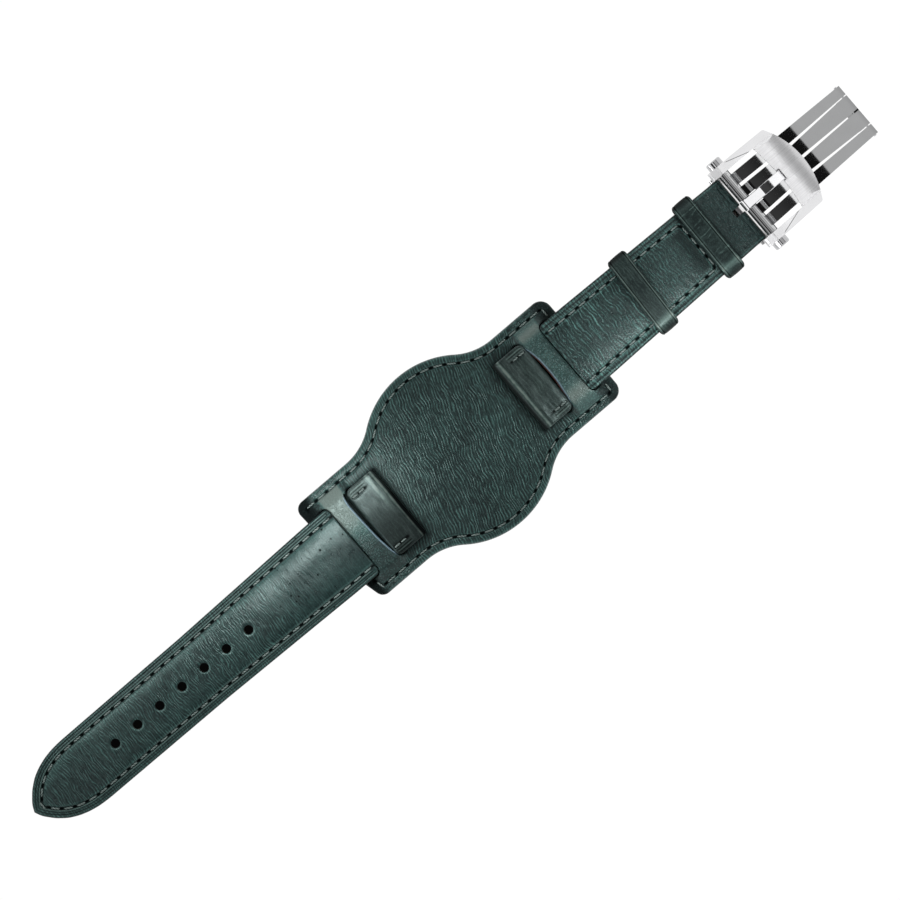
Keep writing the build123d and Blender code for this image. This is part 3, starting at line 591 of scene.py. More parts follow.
def steel(name, tone, rough, brushed=False, shaded=False):
    """Stainless steel. brushed: the bow's upper face has fine lines along X, and the rest stays polished. shaded: the
    cross bar at the hinge is painted darker, a painted shade."""
    n = Nodes(name)
    mm = n.vmath("SCALE", n.new("ShaderNodeTexCoord").outputs["Object"], 1000.0)
    n.bsdf.inputs["Metallic"].default_value = 1.0
    smear = n.noise(mm, 0.3, 2.0, 0.5)
    dull = tuple(0.9 * c for c in tone[:3]) + (1,)
    colour = n.mix(smear, tone, dull)
    r = n.math("ADD", n.math("MULTIPLY", n.math("SUBTRACT", smear, 0.5), 0.03), rough)
    if brushed:
        x, y, z = n.new("ShaderNodeSeparateXYZ", {"Vector": mm}).outputs
        zone = n.math("MULTIPLY", n.ramp(x, 97.6, 98.0), n.ramp(n.math("ABSOLUTE", y), 9.3, 8.9))
        zone = n.math("MULTIPLY", zone, n.ramp(z, 6.4, 6.9))
        hair = n.noise(n.vmath("MULTIPLY", mm, (0.12, 5.5, 0.0)), 1.0, 2.0, 0.6)
        hair = n.math("MULTIPLY", n.math("SUBTRACT", hair, 0.5), 0.5)
        shade = n.math("ADD", n.math("MULTIPLY", n.math("MULTIPLY", hair, zone), 0.9), 1.0)
        colour = n.vmath("SCALE", colour, shade)
        # each side bar's inner bevel is parted from its flat top by a painted dark line, a painted reflection along the
        # edge
        far = n.math("ADD", n.math("SUBTRACT", n.math("ABSOLUTE", y), 10.95), n.math("MULTIPLY", n.math("SUBTRACT", x, 93.3), 0.31))
        line = n.math("MULTIPLY", n.ramp(n.math("ABSOLUTE", far), 0.14, 0.04), n.ramp(z, 6.5, 6.8))
        line = n.math("MULTIPLY", line, n.math("MULTIPLY", n.ramp(x, 92.6, 93.6), n.ramp(x, 100.8, 100.0)))
        colour = n.vmath("SCALE", colour, n.math("SUBTRACT", 1.0, n.math("MULTIPLY", line, 0.75)))
        rear = n.math("MULTIPLY", n.ramp(x, 91.0, 90.4), n.ramp(z, 5.6, 6.2))
        r = n.math("ADD", r, n.math("ADD", n.math("MULTIPLY", zone, 0.42), n.math("MULTIPLY", rear, 0.4)), clamp=True)
        n.put(n.bsdf.inputs["Anisotropic"], n.math("MULTIPLY", zone, 0.6))
        across = n.new("ShaderNodeVectorTransform", {"Vector": (0.0, 1.0, 0.0)}, vector_type="VECTOR",
                       convert_from="OBJECT", convert_to="WORLD")
        n.put(n.bsdf.inputs["Tangent"], across.outputs[0])
    if shaded:
        x, y, z = n.new("ShaderNodeSeparateXYZ", {"Vector": mm}).outputs
        # painted shade: the hinge region inside the side bars is darkened
        inside = n.math("MULTIPLY", n.ramp(x, 91.2, 90.6), n.ramp(n.math("ABSOLUTE", y), 9.3, 9.1))
        colour = n.vmath("SCALE", colour, n.math("SUBTRACT", 1.0, n.math("MULTIPLY", inside, 0.65)))
    n.put(n.bsdf.inputs["Base Color"], colour)
    n.put(n.bsdf.inputs["Roughness"], r)
    n.mat.diffuse_color = tone
    return n.mat


DEEP, PALE = srgb(11, 26, 27), srgb(80, 118, 113)
mat_pad = leather("leather_pad", DEEP, PALE, wrinkle=0.95, gap=0.66, reach=2.6, slant=0.3, waver=0.95, broken=(0.37, 0.54), vein=0.4,
                  grain=0.2, grain_size=0.6, pebble_zone=(26.4, 27.6), rough=0.34, bump=0.85)
mat_long = leather("leather_long", DEEP, PALE, wrinkle=0.75, gap=0.62, reach=3.6, slant=0.03, wander=1.8,
                   broken=(0.34, 0.54), line_zone=(44.0, 66.0), pores=0.9, grain=0.2, grain_size=0.5, rough=0.30)
mat_short = leather("leather_short", DEEP, srgb(84, 130, 124), wrinkle=0.85, gap=0.8, reach=2.4, wander=2.2,
                    broken=(0.36, 0.54), vein=0.75, vein_zone=58.0, line_zone=(80.0, 58.0), grain=0.9, grain_size=0.5,
                    rough=0.30)
mat_keeper = leather("leather_keeper", srgb(7, 18, 19), srgb(98, 120, 114), wrinkle=0.25, gap=0.7, reach=2.0, wander=1.0,
                     grain=0.25, rough=0.32, bump=0.7, gloss=0.46)
mat_sewn = leather("leather_sewn", srgb(7, 18, 19), srgb(98, 124, 118), wrinkle=0.6, gap=1.15, reach=4.0, wander=1.0,
                   slant=1.5, broken=(0.50, 0.62), grain=0.25, rough=0.32, bump=0.7, gloss=0.44)
mat_tab = leather("leather_tab", srgb(7, 18, 19), srgb(118, 142, 135), wrinkle=0.16, gap=0.9, reach=5.0, grain=0.2,
                  rough=0.32, bump=0.7, patchy=0.2)
mat_lining = suede("lining", srgb(70, 50, 40), srgb(122, 92, 74))
mat_thread = thread_material()
mat_polished = steel("polished_steel", (0.80, 0.80, 0.81, 1), 0.07)
mat_blade = steel("blade_steel", (0.62, 0.625, 0.63, 1), 0.05, shaded=True)
mat_brushed = steel("brushed_steel", (0.82, 0.82, 0.83, 1), 0.08, brushed=True)
# a darker copy of steel for the bars: a painted shade standing in for the dark surround they reflect
mat_bar_shaded = steel("bar_steel_shaded", (0.24, 0.24, 0.245, 1), 0.10)
mat_button = steel("button_steel", (0.56, 0.56, 0.57, 1), 0.09)
mat_spring = steel("spring_steel", (0.5, 0.5, 0.51, 1), 0.2)


# ------------------------------------------------------------------ pad
def pad_outline():
    """Counter-clockwise: round middle, concave blends, straight ends with small corners."""
    # blend circle centre: tangent to the big circle and to the line y = half width
    cy = PAD_HALF_W + PAD_BLEND_R
    cx = math.sqrt((PAD_R + PAD_BLEND_R) ** 2 - cy ** 2)
    a = math.degrees(math.atan2(cy, cx))
    q1 = [(38.9, 0.0)] + arc(38.9 - 2.8, PAD_HALF_W - 2.8, 2.8, 0, 90, 12)
    side = arc(cx, cy, PAD_BLEND_R, -90, -180 + a, 24) + arc(0, 0, PAD_R, a, 90, 40)
    far = [(-x, y) for x, y in reversed(side)][1:]
    # the end towards the tip is cut a little askew
    far_top = arc(-39.16 + 2.2, PAD_HALF_W - 2.2, 2.2, 90, 180, 12)
    far_low = arc(-37.3 + 2.2, -PAD_HALF_W + 2.2, 2.2, 192, 270, 12)
    near_low = [(x, -y) for x, y in reversed(q1[1:])]
    low = [(x, -y) for x, y in reversed(side + far)]
    loop = q1 + side + far + far_top + [(-39.0, 9.0), (-38.3, -9.0)] + far_low + low + near_low
    return resample(np.array(loop), 0.36)


def bridge_rise(p):
    ax, ay = np.abs(p[:, 0]), np.abs(p[:, 1])
    f = smooth(25.6, 28.1, ax) * (1 - smooth(33.6, 36.2, ax))
    g = 1 - smooth(9.5, 13.3, ay)
    return 2.0 * f * g


def slot_loop(sign, a, b, r=1.3):
    h = SLOT_HALF_W
    if a < 30:
        # the bridge's inner edge is not straight: X of the edge against Y
        table = [(-9.6, 27.35), (-8.0, 27.95), (-3.5, 28.6), (2.0, 28.85), (7.0, 28.95), (9.0, 28.7), (10.0, 28.0)] if sign < 0 \
            else [(-9.8, 27.1), (-7.5, 27.9), (-3.0, 28.55), (0.0, 28.7), (4.0, 28.6), (7.0, 28.0), (9.2, 27.1)]
        ty, tx = np.array(table).T
        ys = np.linspace(ty[0], ty[-1], 41)
        side = list(zip(lut(list(zip(ty, tx)), ys, 1.2), ys))
        # the two corner arcs on a side meet without crossing
        c0, c1 = (max(x - 1.3, a + r + 0.05) for x in (tx[0], tx[-1]))
        r0, r1 = min(1.0, tx[0] - c0), min(1.0, tx[-1] - c1)
        pts = side + arc(c1, h - r1, r1, 20, 90, 6) + arc(a + r, h - r, r, 90, 180, 7) + \
            arc(a + r, -h + r, r, 180, 270, 7) + arc(c0, -h + r0, r0, 270, 340, 6)
    else:
        pts = arc(b - r, h - r, r, 0, 90, 7) + arc(a + r, h - r, r, 90, 180, 7) + arc(a + r, -h + r, r, 180, 270, 7) + \
            arc(b - r, -h + r, r, 270, 360, 7)
    pts = np.array(pts)
    if sign < 0:
        pts = (pts * (-1, 1))[::-1]
    return resample(pts, 0.36)


pad_loop = pad_outline()
pad_slots = [slot_loop(s, *ab) for s in (1, -1) for ab in (INNER_SLOT, OUTER_SLOT)]


def path_inset(loop, amount):
    q = loop + normals(loop) * amount
    ok = (distance(q, loop) >= 0.985 * amount) & inside(q, loop)
    return q[ok]


def spots_on(path, pitch, closed, phase=0.5):
    """Evenly spaced places along a path: (point, direction)."""
    p = np.vstack([path, path[:1]]) if closed else path
    s = np.concatenate([[0], np.cumsum(np.linalg.norm(np.diff(p, axis=0), axis=1))])
    n = int(round(s[-1] / pitch))
    out = []
    for i in range(n):
        t = s[-1] * (i + phase) / n
        q = np.array([np.interp(t, s, p[:, k]) for k in (0, 1)])
        e = np.array([np.interp(min(t + 0.3, s[-1]), s, p[:, k]) - np.interp(max(t - 0.3, 0), s, p[:, k]) for k in (0, 1)])
        out.append((q, math.atan2(e[1], e[0])))
    return out


def needle_field(p, holes, along=0.62, across=0.36):
    """1 in the middle of each needle hole, falling to 0 at its rim."""
    out = np.zeros(len(p))
    for (x, y), a in holes:
        dx, dy = p[:, 0] - x, p[:, 1] - y
        near = (np.abs(dx) < 1.3) & (np.abs(dy) < 1.3)
        u = dx[near] * math.cos(a) + dy[near] * math.sin(a)
        v = -dx[near] * math.sin(a) + dy[near] * math.cos(a)
        e = (u / along) ** 2 + (v / across) ** 2
        out[near] = np.maximum(out[near], np.exp(-e ** 2))
    return out


pad_path = path_inset(pad_loop, 2.0)
pad_sewn = [(q, a) for q, a in spots_on(pad_path, 3.35, True) if not (abs(q[0]) > 32.4 and abs(q[1]) < 11.6)]
pad_needle = [(q, a) for q, a in spots_on(pad_path, 3.35, True, 0.0) if not (abs(q[0]) > 33.4 and abs(q[1]) < 10.6)]


def pad_top_height(p, d, h):
    z = PAD_T + bridge_rise(p)
    z = z - edge_round(d, 0.75, 0.5) - edge_round(h, 0.45, 0.22)
    z = z - groove(d, 2.0, 0.42, 0.13) - 0.42 * needle_field(p, pad_needle)
    # the border beyond the seam lies a little lower, and the leather swells between the seam and the middle
    z = z - 0.12 * (1 - smooth(1.2, 3.2, d))
    ring = np.hypot(p[:, 0], p[:, 1])
    z = z + 0.05 * vnoise(p[:, 0] / 5.0, p[:, 1] / 6.0, 3) * smooth(2.5, 5, d)
    z = z + 0.022 * vnoise(p[:, 0] / 0.9, p[:, 1] / 3.4, 5) * smooth(0.6, 1.5, d)
    z = z - 0.25 * np.exp(-((ring / 15.0) ** 2))
    return z


def box_gap(p, x0, x1, half):
    """Distance from a rectangle in |X| and |Y|."""
    ax, ay = np.abs(p[:, 0]), np.abs(p[:, 1])
    return np.hypot(np.maximum(0, np.maximum(x0 - ax, ax - x1)), np.maximum(0, ay - half))


def pad_marks(p, d, h):
    ax, ay = np.abs(p[:, 0]), np.abs(p[:, 1])
    # painted shade: black needle holes and a dark line along the seam
    dark = 1.0 * needle_field(p, pad_needle, 0.74, 0.42)
    dark = np.maximum(dark, 0.8 * np.exp(-(((d - 2.0) / 0.34) ** 2)))
    # painted shade: the ends beyond the slots, where the pad falls away, are darkened, and so is the place round each
    # folded end
    dark = np.maximum(dark, smooth(33.6, 36.4, ax) * np.where(p[:, 0] < 0, 0.9, 0.62))
    fold_gap = box_gap(p, 18.9, 26.0, 9.9)
    dark = np.maximum(dark, 0.72 * np.exp(-((fold_gap / 1.0) ** 1.6)))
    # painted shade at the inner slots' ends beside the folded ends
    dark = np.maximum(dark, 0.6 * np.exp(-((h / 0.5) ** 2)) * (ax < 27) * (ay > 9.8))
    light = 0.07 * (1 - smooth(1.3, 1.8, d)) + 0.3 * np.exp(-(((d - 0.4) / 0.22) ** 2))
    light = light + 0.34 * np.exp(-(((d - 1.5) / 0.12) ** 2)) + 0.3 * np.exp(-(((d - 2.52) / 0.13) ** 2))
    light = light * (1 + 0.35 * vnoise(p[:, 0] / 1.1, p[:, 1] / 1.1, 9)) * (1 - 0.8 * smooth(34, 36, ax))
    # painted highlight on the bridges: on the tip's side paler towards +Y, with painted shade towards -Y; on the
    # clasp's side pale bands near both sides
    bridge = smooth(27.2, 28.3, ax) * (1 - smooth(33.3, 34.5, ax)) * (1 - smooth(12.2, 14.0, ay))
    y = p[:, 1]
    left = 0.12 + 0.74 * smooth(-4.0, 5.5, y)
    right = 0.36 + 0.5 * np.exp(-(((y + 8.0) / 2.3) ** 2)) + 0.5 * np.exp(-(((y - 10.4) / 1.5) ** 2))
    light = light + np.where(p[:, 0] > 0, right, left) * bridge
    dark = np.maximum(dark, np.where(p[:, 0] < 0, 0.35 * smooth(-1.0, -7.0, y), 0.0) * bridge)
    # paler creases where the round middle bends near the slots
    crease = np.exp(-(((vnoise(p[:, 0] / 2.6, p[:, 1] / 3.6, 51)) / 0.07) ** 2)) * smooth(6, 10, ax) * (1 - smooth(16, 18.5, ax))
    light = light + 0.22 * crease * smooth(3.0, 4.5, d)
    return np.clip(dark, 0, 1), np.clip(light, 0, 1.3)


def slot_lean(loop):
    """The bridge's cut edge leans into its slot, and on the clasp's side its bare edge shows."""
    ax, ay = np.abs(loop[:, 0]), np.abs(loop[:, 1])
    near = (ax > 26.9) & (ax < 29.2) & (ay < 9.6)
    lean = np.where(near, np.where(loop[:, 0] > 0, 0.42, 0.15) * (1 - (ay / 9.6) ** 4), 0.0)
    return lean, np.where(near & (loop[:, 0] > 0), (1 - (ay / 8.6) ** 6).clip(0, 1), 0.0)


pad = plate("pad", pad_loop, pad_slots, pad_top_height, lambda p: bridge_rise(p) + 0.0, pad_marks,
            [mat_pad, mat_lining], step=0.34,
            rings=(0.07, 0.17, 0.3, 0.48, 0.7, 0.95, 1.25, 1.5, 1.68, 1.84, 2.0, 2.16, 2.32, 2.5, 2.75),
            hole_rings=(0.08, 0.2, 0.36, 0.6), bulge=0.12, edge_dark=0.35, hole_lean=slot_lean)
rest_xy = np.zeros(len(pad.data.vertices) * 3, np.float32)
pad.data.vertices.foreach_get("co", rest_xy)
rest_xy = rest_xy.reshape(-1, 3) / MM
slot_edge = np.min([distance(rest_xy[:, :2].astype(float), q) for q in (pad_slots[0], pad_slots[2])], axis=0)
ax, ay = np.abs(rest_xy[:, 0]), np.abs(rest_xy[:, 1])
burnished = np.exp(-(((slot_edge - 0.08) / 0.13) ** 2)) * (ax > 26.8) * (ax < 29.4) * (1 - smooth(8.6, 9.8, ay)) * (rest_xy[:, 2] > 3.9)
burnished = burnished * np.where(rest_xy[:, 0] < 0, 0.95, 0.75)
pad.data.attributes["edge"].data.foreach_set("value", burnished.astype(np.float32))
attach(pad, "pad")
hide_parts("pad_top", "pad_lining")

pad_stitching = stitches("pad_stitching",
                         [(q[0], q[1], PAD_T + 0.02 + float(bridge_rise(np.array([q]))[0]), a, 0.0, 1.0) for q, a in pad_sewn],
                         mat_thread, r=0.17, length=2.15)
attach(pad_stitching, "pad")
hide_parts("pad_thread")


# ------------------------------------------------------------------ strap halves
def half_width_long(x):
    return np.interp(x, [33.5, 41.0, 80.7, 116.7], [10.0, 9.95, 9.15, 9.0])


def long_outline():
    side = [(x, float(half_width_long(x))) for x in np.arange(35.1, 117.0, 1.0)]
    # the rounded tip
    xs, ys = np.array([(116.7, 9.0)] + TIP_TABLE).T
    ang = np.linspace(0, 1, 60)
    s = np.concatenate([[0], np.cumsum(np.hypot(np.diff(xs), np.diff(ys)))])
    tx, ty = np.interp(ang * s[-1], s, xs), np.interp(ang * s[-1], s, ys)
    # the table's corners are softened, and the very tip is made round
    for _ in range(6):
        tx[1:-1] = (tx[:-2] + 2 * tx[1:-1] + tx[2:]) / 4
        ty[1:-1] = (ty[:-2] + 2 * ty[1:-1] + ty[2:]) / 4
    r = 1.2
    corner = arc(-33.42 - r, 10.0 - r, r, 0, 90, 8)
    upper = corner + [(-x, y) for x, y in side] + [(-x, y) for x, y in zip(tx[1:], ty[1:])]
    lower = [(x, -y) for x, y in reversed(upper[:-1])]
    return np.array(upper + lower), len(corner)


long_points, long_corner = long_outline()
long_loop = resample(long_points, 0.36)
long_rings = (0.06, 0.15, 0.28, 0.42, 0.56, 0.68, 0.8, 0.94, 1.1, 1.26, 1.4, 1.54, 1.7, 1.88, 2.02, 2.14, 2.26, 2.38,
              2.52, 2.72, 2.95)


def side_path(points, amount, x_from):
    """The sewing line: inset from the outline, open at the inner end."""
    q = points + normals(points) * amount
    ok = (distance(q, points) >= 0.985 * amount) & inside(q, points)
    q = q[ok]
    q = q[np.abs(q[:, 0]) > x_from]
    return q


SEAM = 2.26
straight = np.column_stack([-np.arange(33.9, 40.0, 0.36), half_width_long(np.arange(33.9, 40.0, 0.36)) - SEAM])
long_path = side_path(long_loop, SEAM, 40.0)
# start at the inner end: rotate so that the gap is at the ends
gap = int(np.argmax(np.linalg.norm(np.diff(np.vstack([long_path, long_path[:1]]), axis=0), axis=1)))
long_path = np.roll(long_path, -(gap + 1), 0)
if long_path[0, 1] < 0:
    straight = straight * (1, -1)
long_path = np.vstack([straight, long_path, (straight * (1, -1))[::-1]])
long_sewn = spots_on(long_path, 3.2, False)
long_needle = spots_on(long_path, 3.2, False, 0.0)[0:] + [(long_path[-1], 0.0)]


def side_gap(p, d, half_width):
    """Distance from the long sides; near the bridges it ignores the cut end."""
    ax, ay = np.abs(p[:, 0]), np.abs(p[:, 1])
    return np.where(ax < 46.0, half_width(ax) - ay, d)


def seam_dip(d, depth=0.13):
    return groove(d, SEAM, 0.4, depth)


def half_surface(p, d, table_top, table_low, pad_from, pad_to, edge_t):
    """Height of the padded top: thin border and the crowned middle."""
    ax, ay = np.abs(p[:, 0]), np.abs(p[:, 1])
    zt = lut(table_top, ax, 1.6)
    zb = lut(table_low, ax, 1.2)
    full = zt - zb
    edge = np.minimum(edge_t, full * 0.92)
    crown = np.clip((d - 1.3) / 7.2, 0, 1)
    crown = np.sqrt(np.maximum(0, 1 - (1 - crown) ** 2.2))
    crown = crown * (1 - smooth(pad_to - 9, pad_to, ax)) + 0.35 * smooth(0.4, 3.0, d) * smooth(pad_to - 9, pad_to, ax)
    return zb + edge + (full - edge) * crown


def long_top_height(p, d, h):
    ax = np.abs(p[:, 0])
    cut, d = d, side_gap(p, d, half_width_long)
    z = half_surface(p, d, LONG_TOP, LONG_LOW, 36, 121, 2.25)
    z = z - edge_round(cut, 0.5, 0.34)
    z = z - groove(d, 0.78, 0.13, 0.11) - groove(d, 1.48, 0.14, 0.12)
    z = z - seam_dip(d, 0.2) - 0.42 * needle_field(p, long_needle)
    z = z - edge_round(h, 0.55, 0.22) + groove(h, 0.75, 0.35, 0.05)
    body = smooth(2.4, 3.4, d) * smooth(0.8, 1.6, h)
    z = z + body * (0.035 * vnoise(p[:, 0] / 0.62 + 0.12 * p[:, 1], p[:, 1] / 2.6, 21)
                    + 0.05 * vnoise(p[:, 0] / 4.0, p[:, 1] / 4.0, 22))
    return z


def long_marks(p, d, h):
    cut, d = d, side_gap(p, d, half_width_long)
    # painted shade: black needle holes, a dark seam line, dark creases and dark lips round the punched holes
    dark = needle_field(p, long_needle, 0.68, 0.42)
    dark = np.maximum(dark, 0.85 * np.exp(-(((d - SEAM) / 0.3) ** 2)))
    dark = np.maximum(dark, groove(d, 0.74, 0.12, 0.8))
    dark = np.maximum(dark, groove(d, 1.36, 0.13, 0.75))
    dark = np.maximum(dark, groove(cut, 0.0, 0.14, 0.85))
    dark = np.maximum(dark, 0.95 * np.exp(-((h / 0.10) ** 2)))
    light = 0.45 * np.exp(-(((d - 0.4) / 0.11) ** 2)) + 0.3 * np.exp(-(((d - 1.05) / 0.13) ** 2))
    light = light + 0.95 * np.exp(-(((d - 1.66) / 0.1) ** 2)) + 0.5 * np.exp(-(((d - 2.86) / 0.12) ** 2))
    # painted shade beside the seam as well
    dark = np.maximum(dark, groove(d, 1.98, 0.15, 0.8))
    # painted highlight: a pale band inside the seam on the +Y side
    light = light + 0.2 * np.exp(-(((d - 3.6) / 0.7) ** 2)) * smooth(1.0, 4.0, p[:, 1])
    # a painted highlight: a pale rim on the lower side of each hole
    rim = np.exp(-(((h - 0.3) / 0.13) ** 2)) * (0.15 + 0.85 * smooth(0.3, -0.6, p[:, 1]))
    light = light + 0.6 * rim * (h < 2)
    return np.clip(dark, 0, 1), np.clip(light, 0, 1)


circle_holes = [np.array(arc(x, y, HOLE_R, 0, 360 - 360 / 28, 28)) for x, y in HOLES]
long_strap = plate("long_strap", long_loop, circle_holes, long_top_height,
                   lambda p: lut(LONG_LOW, np.abs(p[:, 0]), 1.2), long_marks, [mat_long, mat_lining], step=0.33,
                   rings=long_rings, hole_rings=(0.07, 0.17, 0.3, 0.48, 0.72), bulge=0.1, edge_dark=0.55)


def on_surface(spots, height, lift=0.0):
    """Places the stitches on the surface, with its slope along each stitch."""
    out = []
    for q, a in spots:
        e = np.array([q, q + 0.8 * np.array([math.cos(a), math.sin(a)]), q - 0.8 * np.array([math.cos(a), math.sin(a)])])
        z = height(e)
        out.append((q[0], q[1], float(z[0]) + lift, a, float(z[1] - z[2]) / 1.6, 1.0))
    return out


def plain_half(table_top, table_low, pad_to, edge_t, at):
    def height(p):
        d = np.full(len(p), at)
        return half_surface(p, d, table_top, table_low, 36, pad_to, edge_t)
    return height


long_stitching = stitches("long_stitching",
                          on_surface(long_sewn, plain_half(LONG_TOP, LONG_LOW, 121, 2.25, SEAM), 0.0),
                          mat_thread, r=0.17, length=2.05)

for ob, nodes, slot in ((long_strap, ("long_top", "long_lining", "long_filler"), "leather"),
                        (long_stitching, ("long_thread",), "thread")):
    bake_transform(ob)
    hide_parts(*nodes)


# short half
def half_width_short(x):
    return np.interp(x, [33.5, 41.0, 87.0, 90.0], [10.0, 9.95, 9.05, 9.05])


def short_outline():
    r = 1.2
    end = BAR[0] + BAR[2]
    low = [(x, -float(half_width_short(x))) for x in np.arange(35.3, 88.6, 1.0)] + [(88.75, -9.05), (end, -8.75)]
    mid = [(end, -1.0), (86.7, -0.95), (86.7, 0.95), (end, 1.0)]
    high = [(x, -y) for x, y in reversed(low)]
    c_low = arc(33.42 + r, -10.0 + r, r, 180, 270, 8)
    c_high = arc(33.42 + r, 10.0 - r, r, 90, 180, 8)
    return np.array(c_low + low + mid + high + c_high)


short_loop = resample(short_outline(), 0.36)


def short_seam_y(x):
    return 7.55 + (6.95 - 7.55) * (x - 41.6) / (75.0 - 41.6)


def short_line():
    """Sewing line: along both sides and across at the far end."""
    xs = np.linspace(33.9, 74.2, 60)
    up = [(x, float(short_seam_y(x))) for x in xs]
    turn = [(74.9, 6.55), (75.2, 5.9)]
    pts = up + turn + [(75.25, 4.0), (75.25, -4.0)] + [(x, -y) for x, y in reversed(turn)] + [(x, -y) for x, y in reversed(up)]
    return resample(np.array(pts), 0.3, closed=False)


short_path = short_line()
short_sewn = spots_on(short_path, 3.2, False)
short_needle = spots_on(short_path, 3.2, False, 0.0) + [(short_path[-1], 0.0)]


def short_base(p, d):
    ax = p[:, 0]
    d = side_gap(p, d, half_width_short)
    z = half_surface(p, d, SHORT_TOP, SHORT_LOW, 36, 77.5, 2.5)
    # round the fold over the spring bar
    cx, cz, r = BAR
    fold = cz + np.sqrt(np.maximum(0, r * r - np.clip(ax - cx, 0, r * 0.999) ** 2))
    flat = lut(SHORT_TOP, ax, 0.6)
    t = smooth(80.0, 84.5, ax)
    z = z * (1 - t) + np.minimum(flat, fold + 0.6) * t
    return np.where(ax > 87.6, np.minimum(z, fold), z)


def short_top_height(p, d, h):
    ax = p[:, 0]
    z = short_base(p, d) - edge_round(np.minimum(d, ax - 33.42), 0.3, 0.2) * (ax < 34)
    side = np.abs(np.abs(p[:, 1]) - half_width_short(ax))
    z = z - edge_round(side, 0.5, 0.34) * (1 - smooth(86.5, 88.5, ax))
    seam = distance(p, short_path, closed=False)
    z = z - groove(side, 0.95, 0.14, 0.11) * (1 - smooth(78, 80, ax))
    z = z - groove(seam, 0.0, 0.4, 0.13) - 0.42 * needle_field(p, short_needle)
    body = smooth(0.5, 1.3, seam) * smooth(2.0, 3.2, d)
    z = z + body * (0.045 * vnoise(p[:, 0] / 0.95, p[:, 1] / 3.0 + 0.3 * p[:, 0], 31)
                    + 0.05 * vnoise(p[:, 0] / 3.4, p[:, 1] / 4.0, 32))
    return z


def short_low_height(p):
    ax = p[:, 0]
    z = lut(SHORT_LOW, ax, 0.5)
    cx, cz, r = BAR
    fold = cz - np.sqrt(np.maximum(0, r * r - np.clip(ax - cx, 0, r * 0.999) ** 2))
    return np.where(ax > 87.6, np.maximum(z, fold), z)


def short_marks(p, d, h):
    ax = p[:, 0]
    side = np.abs(np.abs(p[:, 1]) - half_width_short(ax))
    # painted shade: black needle holes, a dark seam line and a dark crease along each side
    dark = needle_field(p, short_needle, 0.68, 0.42)
    fade = 1 - smooth(77, 79, ax)
    seam = distance(p, short_path, closed=False)
    dark = np.maximum(dark, 0.85 * np.exp(-((seam / 0.3) ** 2)))
    dark = np.maximum(dark, groove(side, 0.98, 0.12, 0.7) * fade)
    dark = np.maximum(dark, groove(side, 0.0, 0.14, 0.85))
    # painted shade: the flat end before the seam, and under and beside the sewn keeper, are darker
    dark = np.maximum(dark, 0.5 * np.exp(-(((ax - 73.2) / 1.8) ** 2)) * (seam > 0.6) * (np.abs(p[:, 1]) < 5.6))
    dark = np.maximum(dark, 0.7 * np.exp(-(((np.abs(ax - 78.45) - 2.7).clip(0) / 0.55) ** 2)))
    light = 0.6 * np.exp(-(((side - 0.5) / 0.12) ** 2)) + 0.4 * np.exp(-(((side - 1.5) / 0.13) ** 2)) * fade
    light = light + 0.6 * np.exp(-(((seam - 0.52) / 0.13) ** 2)) * (1 + 0.3 * vnoise(ax / 0.8, p[:, 1], 61))
    return np.clip(dark, 0, 1), np.clip(light, 0, 1)


short_strap = plate("short_strap", short_loop, [], short_top_height, short_low_height, short_marks,
                    [mat_short, mat_lining], step=0.33, rings=long_rings, bulge=0.08, edge_dark=0.55,
                    boxes=((74.4, 76.1, -6.4, 6.4, 0.2),), low_step=0.7)
short_stitching = stitches("short_stitching",
                           on_surface(short_sewn, lambda e: short_base(e, 9.6 - np.abs(e[:, 1])), 0.0),
                           mat_thread, r=0.17, length=2.05)
for ob, nodes, slot in ((short_strap, ("short_top", "short_lining", "short_filler"), "leather"),
                        (short_stitching, ("short_thread",), "thread")):
    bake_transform(ob)
    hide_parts(*nodes)


# ------------------------------------------------------------------ folded inner ends
def loop_profile():
    """Section of a folded end in X and Z, clockwise from the fold's lowest point; X is the distance from the middle."""
    pts = []
    pts += arc(20.4, 4.0, 1.6, 270, 90, 26)                  # the fold, round its end
    pts += [(21.4, 5.58), (22.6, 5.3), (23.8, 5.12), (25.4, 5.02), (26.4, 4.95), (27.1, 4.72), (27.6, 4.3), (27.85, 3.7),
            (27.9, 3.0), (27.95, 2.4), (28.3, 2.05), (29.0, 1.95), (31.0, 1.93), (33.0, 1.95), (33.5, 2.1), (33.72, 2.5),
            (33.8, 3.2), (34.1, 3.9), (34.8, 4.3), (35.6, 4.0), (36.0, 3.2), (36.1, 2.4), (36.1, 1.2), (35.9, 0.55),
            (35.3, 0.12), (34.6, 0.05), (30.0, 0.05), (26.6, 0.05), (25.7, 0.15), (25.25, 0.6), (25.2, 1.4), (25.1, 2.1),
            (24.6, 2.42), (23.0, 2.44), (21.5, 2.43)]
    return resample(np.array(pts), 0.22)


def loop_half_width(x, z):
    """The end narrows with round corners where it dives into the slot."""
    w = np.full_like(x, 10.05)
    corner = np.clip((x - 26.2) / 1.75, 0, 1)
    w = w - 1.75 * (1 - np.sqrt(np.maximum(0, 1 - corner ** 2))) * (z > 2.6) * (x < 29)
    w = np.where(x > 33, 9.6, w)
    w = np.where((z <= 2.6) & (x > 24.9), np.minimum(w, 9.95), w)
    return w


